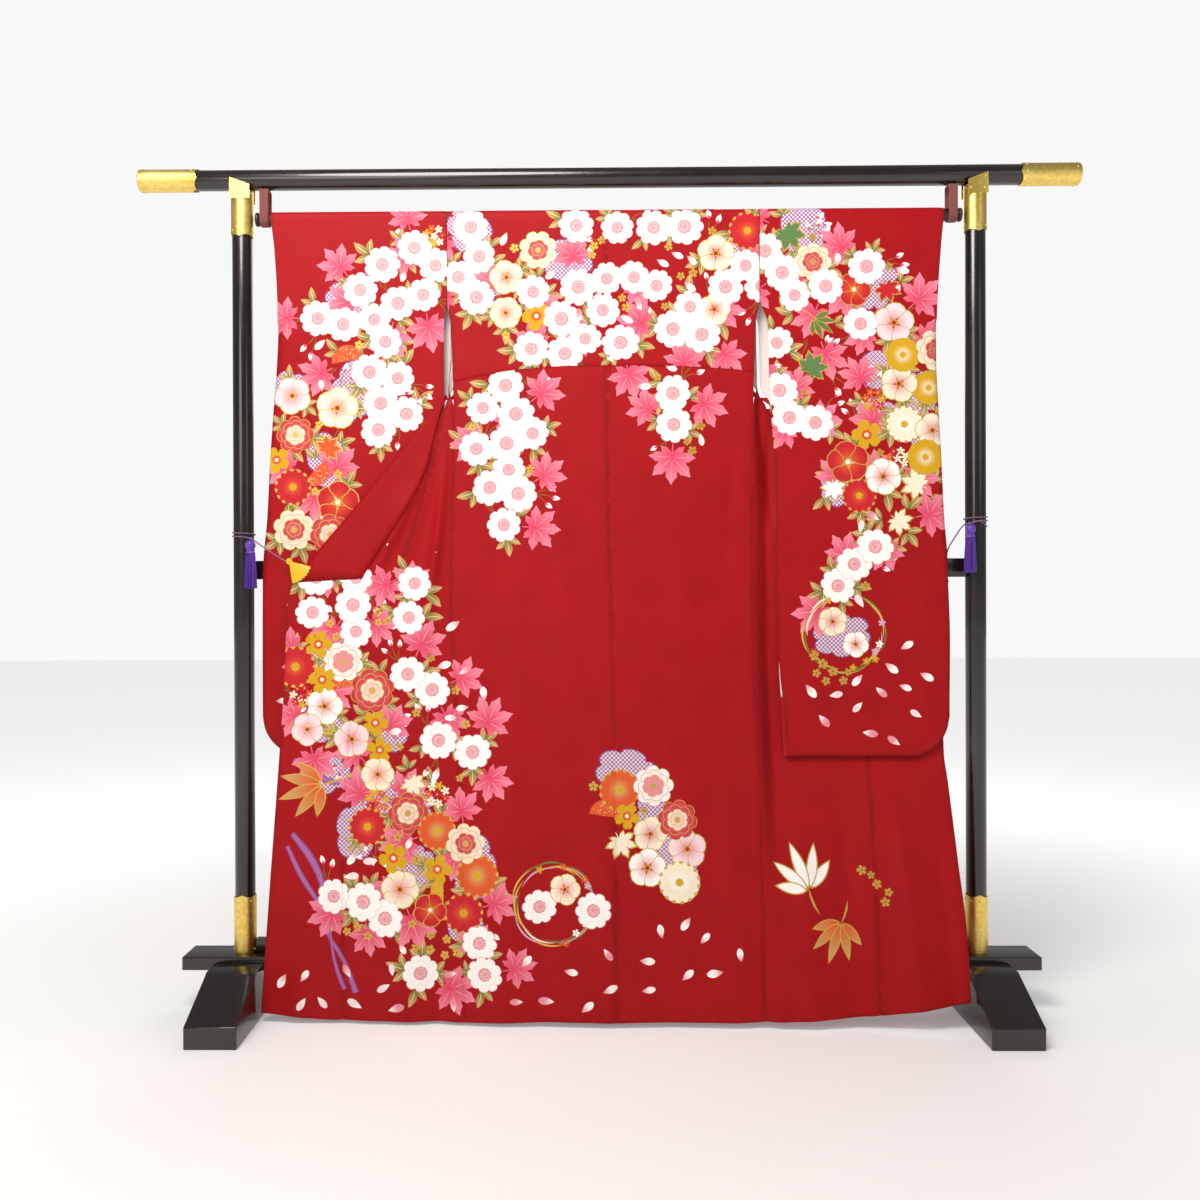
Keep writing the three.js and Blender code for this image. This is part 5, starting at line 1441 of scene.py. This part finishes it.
# a strip of cloth of even thickness through rows of points, with two rolled edges
def gridSheet(name, nodes, rows, shade, thick, closed=False, step=9.0):
    columns = 8
    rows = np.array(rows, float)
    along = np.concatenate([[0], np.cumsum(np.linalg.norm(np.diff(rows[:, 0], axis=0), axis=1))])
    count = max(3, int(along[-1] / step))
    fine = np.linspace(0, along[-1], count + 1)
    columnNames = ("along", *range(rows[0].size))
    table = {"columns": columnNames, "rows": [(a, *row.ravel()) for a, row in zip(along, rows)]}
    flatRows = np.stack([readTable(table, column, fine) for column in columnNames[1:]], 1)
    shaped = flatRows.reshape(len(fine), rows.shape[1], 3)
    share = np.linspace(0, rows.shape[1] - 1, columns + 1)
    i = np.minimum(share.astype(int), rows.shape[1] - 2)
    grid = shaped[:, i] * (1 - (share - i))[None, :, None] + shaped[:, i + 1] * (share - i)[None, :, None]
    du, dv = np.gradient(grid, axis=1), np.gradient(grid, axis=0)
    normal = np.cross(du, dv)
    normal /= np.linalg.norm(normal, axis=2, keepdims=True) + 1e-12
    roll = np.minimum(1, 0.45 + 0.55 * np.minimum(np.arange(columns + 1), columns - np.arange(columns + 1)))
    offset = normal * thick / 2 * roll[None, :, None]
    bm = bmesh.new()
    uv = bm.loops.layers.uv.new("cut")
    upper, lower = [[[bm.verts.new(tuple(p * mm)) for p in row] for row in skin]
                    for skin in (grid + offset, grid - offset)]
    last = len(grid) - 1
    for r in range(last):
        for c in range(columns):
            bm.faces.new([upper[r][c], upper[r][c + 1], upper[r + 1][c + 1], upper[r + 1][c]])
            bm.faces.new([lower[r + 1][c], lower[r + 1][c + 1], lower[r][c + 1], lower[r][c]])
        for c in (0, columns):
            corners = [upper[r][c], upper[r + 1][c], lower[r + 1][c], lower[r][c]]
            bm.faces.new(corners if c == 0 else corners[::-1])
    if closed:
        bmesh.ops.remove_doubles(bm, verts=bm.verts, dist=0.00001)
    else:
        for r in (0, last):
            for c in range(columns):
                corners = [upper[r][c], lower[r][c], lower[r][c + 1], upper[r][c + 1]]
                bm.faces.new(corners if r == 0 else corners[::-1])
    bmesh.ops.recalc_face_normals(bm, faces=bm.faces)
    for face in bm.faces:
        face.smooth = True
        for loop in face.loops:
            p = loop.vert.co
            loop[uv].uv = (p.x, p.z)
    mesh = bpy.data.meshes.new(name)
    bm.to_mesh(mesh)
    bm.free()
    return makeObject(name, mesh, nodes, (shade,)), float(along[-1])


def withMiddle(row):
    return [row[:3], mix(np.array(row[:3]), np.array(row[3:]), 0.5), row[3:]]


collarHeights = (1200, 1160, 1115, 1068, 1005, 946, 900, 881)  # rows of the band on the opened fronts


# the collar: one doubled band from front to front, round the neck and through both armpits
def collarBand():
    halves = {}
    for side, sign in signs.items():
        table = frontTable[side]
        near = [withMiddle(row) for row in collarTable[side]]
        for height in collarHeights:
            at = np.array([float(height)])
            seamX = readTable(table, "collarX", at)[0] + sign * 0.05
            slant = 0.45 * abs(readTable(table, "edgeX", at)[0] - seamX)
            freeZ = height + slant if height > collarHeights[-1] else height - 7.0
            freeX = readTable(table, "edgeX", np.array([freeZ]))[0]
            row = []
            for t in (0, 0.5, 1):
                x, z = mix(seamX, freeX, t), mix(float(height), freeZ, t)
                row.append((x, frontDepth(side, np.array([x]), np.array([z]))[0] - 0.5, z))
            near.append(row)
        halves[side] = near
    rows = [*halves["left"][::-1], withMiddle(collarTable["middle"]), *halves["right"]]
    band, length = gridSheet("collarBand", ["collar"], rows, "plainCrepe", 2.0)
    print("collar band", round(length), "mm along its seam")


ribbons = [  # path and width
    ([(-640, 376), (-598, 330), (-566, 262), (-572, 190), (-530, 130), (-500, 52)], 15),
    ([(-648, 352), (-622, 300), (-590, 250), (-560, 210), (-548, 120), (-524, 60)], 11),
    ([(-640, 520), (-560, 470), (-500, 480), (-430, 430)], 13),
]
shoulderBand = {"path": [(60, 30, 60), (170, 120, 90), (180, 300, 80)], "seed": 51,
                "counts": {"patch": 2, "maple": 3, "flower": 9, "cluster": 3, "leaf": 9, "small": 14}}
grounds = {  # where the woven figure lies: low x, high x, low z, high z
    "body": (-700, 700, 20, 1640), "shoulder": (0, 242, 0, 380),
    "left": (-720, -320, 520, 1640), "right": (300, 700, 520, 1640),
}
bodyPrint = makePrint(bodyBands, bodyExtras, grounds["body"], 5)
bodyPrint += [drawRibbon(path, width) for path, width in ribbons]
bodyPrint.sort(key=lambda m: m["order"])
shoulderPrint = makePrint([shoulderBand], [], grounds["shoulder"], 52)
for side in signs:
    backPanel(side, bodyPrint)
    frontPanel(side, bodyPrint)
    overlapPanel(side, bodyPrint)
    upperFront(side, shoulderPrint)
    sleeveWall(side, False, makePrint(sleeveBands[side], sleeveExtras[side], grounds[side], 60))
    farBands = [{**band, "seed": band["seed"] + 40} for band in sleeveBands[side]]
    sleeveWall(side, True, makePrint(farBands, [], grounds[side], 61))
collarBand()
print("garment made")


# the lacquered stand

stand = {
    "postX": 750, "radius": 20.5, "postFoot": 114.3, "postTop": 1679,
    "barHeight": 1700, "barLength": 1921, "clear": 0.3,  # clear: the room between a bar and its fitting
    "foot": [(-240, 0), (240, 0), (240, 42), (112, 97), (100, 103), (42.3, 103), (42.3, 86.7), (-42.3, 86.7),
             (-42.3, 103), (-100, 103), (-112, 97), (-240, 42)],
    "footWidth": 100,
    "edge": 2.2,  # rounding of the planed edges
    "board": ((-868, -42, 87), (868, 42, 114)),
    "lowRail": ((-727, -10, 114.3), (727, 10, 142)),
    "midRail": ((-729, -10, 880), (729, 10, 918)),
    "fittingLength": 120, "capLength": 123, "sheetMetal": 1.8, "scallop": 5, "nail": 1.9,
    "strapX": 702, "strapWidth": 18, "strapThickness": 2.2,
}


def finishSolid(bm, name, nodes, shade, crease=38):
    bmesh.ops.remove_doubles(bm, verts=bm.verts, dist=0.00001)
    bmesh.ops.recalc_face_normals(bm, faces=bm.faces)
    for face in bm.faces:
        face.smooth = True
    for line in bm.edges:
        if len(line.link_faces) == 2 and line.calc_face_angle(0) > math.radians(crease):
            line.smooth = False
    mesh = bpy.data.meshes.new(name)
    bm.to_mesh(mesh)
    bm.free()
    return makeObject(name, mesh, nodes, (shade,))


def roundEdges(bm, edges, size):
    bmesh.ops.bevel(bm, geom=edges, offset=size * mm, offset_type="OFFSET", segments=3, profile=0.5,
                    affect="EDGES", clamp_overlap=True, material=-1)


def boxPiece(name, node, low, high):
    bm = bmesh.new()
    bmesh.ops.create_cube(bm, size=1)
    span = [(b - a) * mm for a, b in zip(low, high)]
    middle = [(a + b) / 2 * mm for a, b in zip(low, high)]
    bmesh.ops.scale(bm, vec=span, verts=bm.verts)
    bmesh.ops.translate(bm, vec=middle, verts=bm.verts)
    roundEdges(bm, bm.edges[:], stand["edge"])
    return finishSolid(bm, name, [node], "blackLacquer")


def footPiece(side, sign):
    bm = bmesh.new()
    half = stand["footWidth"] / 2
    corners = [bm.verts.new(((sign * stand["postX"] - half) * mm, y * mm, z * mm)) for y, z in stand["foot"]]
    face = bm.faces.new(corners)
    made = bmesh.ops.extrude_face_region(bm, geom=[face])
    moved = [v for v in made["geom"] if isinstance(v, bmesh.types.BMVert)]
    bmesh.ops.translate(bm, vec=(2 * half * mm, 0, 0), verts=moved)
    sharp = [line for line in bm.edges if len(line.link_faces) == 2 and line.calc_face_angle(0) > 0.6]
    roundEdges(bm, sharp, stand["edge"])
    return finishSolid(bm, "stand" + side.capitalize() + "Foot", ["foot_" + side], "blackLacquer")


# a round bar between two points, its ends eased
def roundPiece(name, node, start, end, radius, shade, ease=1.5):
    bm = bmesh.new()
    a, b = Vector(start) * mm, Vector(end) * mm
    bmesh.ops.create_cone(bm, cap_ends=True, segments=72, radius1=radius * mm, radius2=radius * mm,
                          depth=(b - a).length)
    turn = (b - a).to_track_quat("Z", "Y").to_matrix().to_4x4()
    bmesh.ops.transform(bm, matrix=Matrix.Translation((a + b) / 2) @ turn, verts=bm.verts)
    rims = [line for line in bm.edges if any(len(face.verts) > 4 for face in line.link_faces)]
    roundEdges(bm, rims, ease)
    return finishSolid(bm, name, [node], shade)


# the head of a nail or a pin, a little flattened, on a face that looks along Y
def addDome(bm, place, radius):
    made = bmesh.ops.create_uvsphere(bm, u_segments=12, v_segments=8, radius=radius * mm)
    bmesh.ops.scale(bm, vec=(1, 0.7, 1), verts=made["verts"])
    bmesh.ops.translate(bm, vec=Vector(place) * mm, verts=made["verts"])


# the wall of a gilt fitting round a bar: a scalloped edge at one end, with nails along it
def fittingWall(bm, turn, edgeAt, endAt, notchAngle):
    outer = stand["radius"] + stand["clear"] + stand["sheetMetal"]
    around, along, nails = 96, 14, 8
    direction = 1 if endAt > edgeAt else -1
    rings = []
    for k in range(along + 1):
        ring = []
        for i in range(around):
            angle = i / around * 2 * math.pi
            wave = abs(math.sin(2 * angle)) * stand["scallop"]
            notch = 2 * stand["scallop"] * float(smooth((math.cos(angle - notchAngle) - 0.9) / 0.1))
            start = edgeAt + direction * (wave + notch)
            z = mix(start, endAt, (k / along) ** 1.5)
            radius = outer + 0.5 * math.exp(-((abs(z - start) - 3.0) / 1.1) ** 2)  # a bead along the edge
            spot = Vector((radius * math.cos(angle), radius * math.sin(angle), z)) * mm
            ring.append(bm.verts.new(turn @ spot))
        rings.append(ring)
    faces = []
    for k in range(along):
        for i in range(around):
            j = (i + 1) % around
            faces.append(bm.faces.new((rings[k][i], rings[k][j], rings[k + 1][j], rings[k + 1][i])))
    bmesh.ops.recalc_face_normals(bm, faces=faces)
    bmesh.ops.solidify(bm, geom=faces, thickness=stand["sheetMetal"] * mm)
    for row, z in ((0, edgeAt + direction * 13), (1, endAt - direction * 7)):
        for i in range(nails):
            angle = (i + 0.5 * row) / nails * 2 * math.pi
            made = bmesh.ops.create_uvsphere(bm, u_segments=10, v_segments=6, radius=stand["nail"] * mm)
            spot = turn @ (Vector((outer * math.cos(angle), outer * math.sin(angle), z)) * mm)
            bmesh.ops.translate(bm, vec=spot, verts=made["verts"])


def fittings(side, sign):
    label = side.capitalize()
    outside = 0 if sign > 0 else math.pi
    toPost = Matrix.Translation(Vector((sign * stand["postX"], 0, 0)) * mm)
    bm = bmesh.new()
    fittingWall(bm, toPost, stand["postFoot"] + stand["fittingLength"], stand["postFoot"], outside)
    finishSolid(bm, "ferruleLow" + label, ["ferrule_low_" + side], "giltBrass")
    bm = bmesh.new()
    level = stand["barHeight"] - stand["radius"] - stand["clear"]
    fittingWall(bm, toPost, stand["barHeight"] - stand["fittingLength"], level - stand["sheetMetal"], outside)
    radius, inner = stand["radius"], stand["radius"] + stand["clear"]
    high, short = stand["barHeight"], level + 6  # the plates reach further up on their outer side
    for face in (-1, 1):
        shape = [(-radius, level - 22), (radius, level - 22), (radius, high if sign > 0 else short),
                 (-radius, short if sign > 0 else high)]
        y = face * (inner + 0.9 + stand["sheetMetal"] / 2)
        corners = [bm.verts.new((toPost @ (Vector((x, y, z)) * mm))) for x, z in shape]
        plate = bm.faces.new(corners)
        made = bmesh.ops.extrude_face_region(bm, geom=[plate])
        moved = [v for v in made["geom"] if isinstance(v, bmesh.types.BMVert)]
        bmesh.ops.translate(bm, vec=(0, -face * stand["sheetMetal"] * mm, 0), verts=moved)
        for x, z in ((-14, level - 12), (14, level - 12), (sign * 15, level + 12)):
            addDome(bm, (sign * stand["postX"] + x, y, z), stand["nail"])
    finishSolid(bm, "ferruleUp" + label, ["ferrule_up_" + side], "giltBrass")
    bm = bmesh.new()
    start = stand["barLength"] / 2 - stand["capLength"]
    lay = Matrix.Translation(Vector((sign * start, 0, stand["barHeight"])) * mm)
    lay = lay @ Matrix.Rotation(sign * math.pi / 2, 4, "Y")
    fittingWall(bm, lay, 0, stand["capLength"] - 1.5, math.pi)
    disc = bmesh.ops.create_cone(bm, cap_ends=True, segments=72, radius1=(inner + stand["sheetMetal"]) * mm,
                                 radius2=(inner + 0.6) * mm, depth=2.4 * mm)
    bmesh.ops.translate(bm, vec=(0, 0, (stand["capLength"] - 1.2) * mm), verts=disc["verts"])
    bmesh.ops.transform(bm, matrix=lay, verts=disc["verts"])
    finishSolid(bm, "barCap" + label, ["bar_cap_" + side], "giltBrass")


def strapLoop(side, sign):
    radius = rod["radius"] + stand["clear"] + stand["strapThickness"] / 2
    top = stand["barHeight"] - stand["radius"] - stand["clear"] - stand["strapThickness"] / 2
    angles = np.radians(np.arange(-180, 1, 15))
    line = [(radius * math.cos(a), rod["height"] + radius * math.sin(a)) for a in angles]
    line += [(radius, z) for z in np.linspace(rod["height"] + 12, top - 4, 5)]
    line += [(radius - 1.2, top - 1.2), (radius - 4, top), (0, top)]
    line += [(4 - radius, top), (1.2 - radius, top - 1.2)]
    line += [(-radius, z) for z in np.linspace(top - 4, rod["height"] + 12, 5)]
    line.append(line[0])
    half = stand["strapWidth"] / 2
    x = sign * stand["strapX"]
    rows = [[(x - half, y, z), (x, y, z), (x + half, y, z)] for y, z in line]
    strap, length = gridSheet("strap" + side.capitalize(), ["strap_" + side], rows,
                              "cottonTape", stand["strapThickness"], closed=True, step=3.0)


boxPiece("baseBoard", "base_board", *stand["board"])
boxPiece("lowRail", "low_rail", *stand["lowRail"])
boxPiece("midRail", "mid_rail", *stand["midRail"])
barEnd = stand["barLength"] / 2 - 2.4
roundPiece("topBar", "top_bar", (-barEnd, 0, stand["barHeight"]), (barEnd, 0, stand["barHeight"]),
           stand["radius"], "blackLacquer")
rodEnd = rod["halfLength"] - rod["capLength"]
roundPiece("hangRod", "hang_rod", (-rodEnd, 0, rod["height"]), (rodEnd, 0, rod["height"]),
           rod["radius"], "satinPaint")
for side, sign in signs.items():
    footPiece(side, sign)
    postX = sign * stand["postX"]
    roundPiece("post" + side.capitalize(), "post_" + side, (postX, 0, stand["postFoot"]),
               (postX, 0, stand["postTop"]), stand["radius"], "blackLacquer")
    fittings(side, sign)
    roundPiece("rodCap" + side.capitalize(), "rod_cap_" + side,
               (sign * (rodEnd + 0.2), 0, rod["height"]), (sign * rod["halfLength"], 0, rod["height"]),
               rod["radius"] + 1, "satinPaint", ease=3)
    strapLoop(side, sign)
print("stand made")


# cords, tassels and clips

cordLook = {"radius": 1.5, "turns": 1.5, "drop": 11, "count": 18, "pitch": 7.0}
cordTable = {  # the top of the turns round the post, the stretch to the clip, and a tail past the knot
    "left": {
        "top": 978,
        "stretch": [(-726, -33, 962), (-700, -38, 945), (-672, -41.5, 927), (-653, -43, 915.5)],
    },
    "right": {
        "top": 1004,
        "stretch": [(728, -32, 987), (716, -29, 983.5), (700, -19, 957), (688, -13.4, 930),
                    (681.5, -13.6, 877)],
        "tail": [(728, -33, 988), (741, -37, 992), (752, -37, 989), (762, -35, 980)],
    },
}
tasselLook = {
    "head": 10, "headLength": 26, "neck": 7.4, "length": 98, "spread": 12.5, "strands": 190, "thread": 0.62,
}
tasselPlaces = {"left": (-727, -34, 958.6), "right": (729, -33, 985.3)}
clipTable = {
    "left": {"x": -647, "z": 916, "radius": 46, "from": -82, "to": -14, "grip": (-617, 884), "near": 3,
             "far": 1.6, "clear": 1.2},
    "right": {"x": 684, "z": 871, "radius": 34, "from": 172, "to": 232, "grip": (664, 862), "near": 1.2,
              "far": 1.6, "clear": 0.5},
}


def curveThrough(points, spacing):
    p = np.array([points[0], *points, points[-1]], float)
    made = []
    for i in range(1, len(p) - 2):
        count = max(2, int(np.linalg.norm(p[i + 1] - p[i]) / spacing))
        for t in np.linspace(0, 1, count, endpoint=False):
            made.append(0.5 * (2 * p[i] + (p[i + 1] - p[i - 1]) * t
                               + (2 * p[i - 1] - 5 * p[i] + 4 * p[i + 1] - p[i + 2]) * t * t
                               + (3 * p[i] - p[i - 1] - 3 * p[i + 1] + p[i + 2]) * t ** 3))
    made.append(p[-1])
    return np.array(made)


# a two-ply twisted cord along a line
def twistedTube(bm, line, radius, pitch, sides=12):
    ahead = np.gradient(line, axis=0)
    ahead /= np.linalg.norm(ahead, axis=1, keepdims=True)
    side = np.cross(ahead[0], (0, 0, 1) if abs(ahead[0][2]) < 0.9 else (0, 1, 0))
    travelled, rings = 0.0, []
    for i, point in enumerate(line):
        side = side - ahead[i] * np.dot(side, ahead[i])
        side /= np.linalg.norm(side)
        up = np.cross(ahead[i], side)
        if i:
            travelled += float(np.linalg.norm(point - line[i - 1]))
        ring = []
        for k in range(sides):
            angle = k / sides * 2 * math.pi
            ply = 0.74 + 0.26 * abs(math.cos(angle - travelled / pitch * math.pi))
            spot = point + radius * ply * (math.cos(angle) * side + math.sin(angle) * up)
            ring.append(bm.verts.new(tuple(spot * mm)))
        rings.append(ring)
    for a, b in zip(rings, rings[1:]):
        for k in range(sides):
            j = (k + 1) % sides
            bm.faces.new((a[k], a[j], b[j], b[k]))
    bm.faces.new(rings[0][::-1])
    bm.faces.new(rings[-1])


def tieCord(side, sign):
    look, table = cordLook, cordTable[side]
    around = stand["radius"] + look["radius"] + 0.7
    points = []
    for i in range(look["count"] + 1):
        angle = (i / look["count"] - 1) * look["turns"] * 2 * math.pi - math.pi / 2
        points.append((sign * (stand["postX"] - around * math.cos(angle)), around * math.sin(angle),
                       table["top"] - look["drop"] * i / look["count"]))
    points += table["stretch"]
    bm = bmesh.new()
    twistedTube(bm, curveThrough(points, 1.4), look["radius"], look["pitch"])
    knot = bmesh.ops.create_uvsphere(bm, u_segments=16, v_segments=12, radius=3.4 * mm)
    bmesh.ops.scale(bm, vec=(1.15, 0.9, 1), verts=knot["verts"])
    bmesh.ops.translate(bm, vec=Vector(table["stretch"][0]) * mm, verts=knot["verts"])
    if "tail" in table:
        twistedTube(bm, curveThrough(table["tail"], 1.4), look["radius"] * 0.9, look["pitch"])
    finishSolid(bm, "tieCord" + side.capitalize(), ["tie_cord_" + side], "braidedCord", crease=70)


def tassel(side):
    look = tasselLook
    rng = random.Random(7 if side == "left" else 8)
    top = Vector(tasselPlaces[side])
    bm = bmesh.new()
    head, neck = look["head"], look["neck"]
    profile = [(0, 0), (3.2, -0.4), (7.4, -2.2), (head, -6.4), (head + 0.3, -11), (head - 0.6, -15),
               (neck, -17), (neck, -21), (neck + 0.6, -22), (head - 0.6, -24.5), (head, -look["headLength"]),
               (0, -27)]
    corners = [bm.verts.new((r * mm, 0, z * mm)) for r, z in profile]
    lines = [bm.edges.new(pair) for pair in zip(corners, corners[1:])]
    bmesh.ops.spin(bm, geom=corners + lines, cent=(0, 0, 0), axis=(0, 0, 1), dvec=(0, 0, 0),
                   angle=2 * math.pi, steps=40, use_merge=True, use_duplicate=False)
    for turn in range(3):  # the binding round the neck
        line = [((neck + 0.5) * math.cos(a), (neck + 0.5) * math.sin(a), -17.7 - 1.3 * turn)
                for a in np.linspace(0, 2 * math.pi, 41)]
        twistedTube(bm, np.array(line), 0.8, 3.0, sides=6)
    for _ in range(look["strands"]):
        share, angle = math.sqrt(rng.random()), rng.uniform(0, 2 * math.pi)
        start = share * (head - 1.2)
        end = share * look["spread"] + rng.uniform(-0.5, 0.5)
        low = -look["length"] + rng.uniform(0, 3.5)
        sway = rng.uniform(-1.1, 1.1)
        rings = []
        for k in range(7):
            t = k / 6
            r = mix(start, end, t ** 0.7) + sway * math.sin(math.pi * t)
            z = mix(-look["headLength"] + 1.5, low, t)
            here = angle + sway * 0.06 * math.sin(2.2 * t)
            centre = Vector((r * math.cos(here), r * math.sin(here), z))
            rings.append([bm.verts.new((centre + look["thread"] * Vector((math.cos(a), math.sin(a), 0))) * mm)
                          for a in (0.3, 2.4, 4.5)])
        for a, b in zip(rings, rings[1:]):
            for k in range(3):
                bm.faces.new((a[k], a[(k + 1) % 3], b[(k + 1) % 3], b[k]))
        bm.faces.new(rings[-1])
    bmesh.ops.translate(bm, vec=top * mm, verts=bm.verts)
    finishSolid(bm, "tassel" + side.capitalize(), ["tassel_" + side], "rayonThread", crease=80)


# two pleated leaves of a fan on one pin, with the cloth between them
def fanLeaf(bm, clip, nearY, thickness, size, pleatHeight):
    pleats, steps = 7, 8
    count = pleats * 2
    middle = math.radians((clip["from"] + clip["to"]) / 2)
    rings = []
    for k in range(steps + 1):
        ring = []
        for i in range(count + 1):
            angle = math.radians(mix(clip["from"], clip["to"], i / count))
            rim = clip["radius"] * size - (2 if i % 2 == 0 else 0)
            reach = mix(4.5, rim, k / steps)
            y = nearY + (pleatHeight if i % 2 else 0) * k / steps
            ring.append(bm.verts.new(Vector((clip["x"] + reach * math.cos(angle), y,
                                             clip["z"] + reach * math.sin(angle))) * mm))
        rings.append(ring)
    faces = []
    for a, b in zip(rings, rings[1:]):
        for i in range(count):
            faces.append(bm.faces.new((a[i], a[i + 1], b[i + 1], b[i])))
    hub = bmesh.ops.create_cone(bm, cap_ends=True, segments=28, radius1=6 * mm, radius2=6 * mm,
                                depth=(thickness + 0.6) * mm)
    turn = Matrix.Rotation(math.pi / 2, 4, "X")
    centre = Vector((clip["x"] - 0.5 * math.cos(middle), nearY + thickness / 2, clip["z"])) * mm
    bmesh.ops.transform(bm, matrix=Matrix.Translation(centre) @ turn, verts=hub["verts"])
    for face in faces:
        face.normal_update()
    bmesh.ops.solidify(bm, geom=faces, thickness=-thickness * mm)


def fanClip(side):
    clip = clipTable[side]
    grip = clip["grip"]
    gripY = frontDepth(side, np.array([grip[0]], float), np.array([grip[1]], float))[0]
    nearY = gripY - skinDepth - clip["clear"] - clip["near"]
    farY = gripY + skinDepth + clip["clear"]
    bm = bmesh.new()
    pleat = clip["near"] * 0.5
    fanLeaf(bm, clip, nearY, clip["near"] * 0.42, 1.0, pleat)
    fanLeaf(bm, clip, farY, clip["far"] * 0.5, 0.7, clip["far"] * 0.4)
    pin = bmesh.ops.create_cone(bm, cap_ends=True, segments=24, radius1=3.2 * mm, radius2=3.2 * mm,
                                depth=(farY - nearY + 1) * mm)
    turn = Matrix.Translation(Vector((clip["x"], (nearY + farY) / 2, clip["z"])) * mm)
    bmesh.ops.transform(bm, matrix=turn @ Matrix.Rotation(math.pi / 2, 4, "X"), verts=pin["verts"])
    addDome(bm, (clip["x"], nearY - 0.3, clip["z"]), 3.0)
    finishSolid(bm, "fanClip" + side.capitalize(), ["fan_clip_" + side], "mouldedPlastic",
                crease=14)


for side, sign in signs.items():
    tieCord(side, sign)
    tassel(side)
    fanClip(side)
print("cords, tassels and clips made")
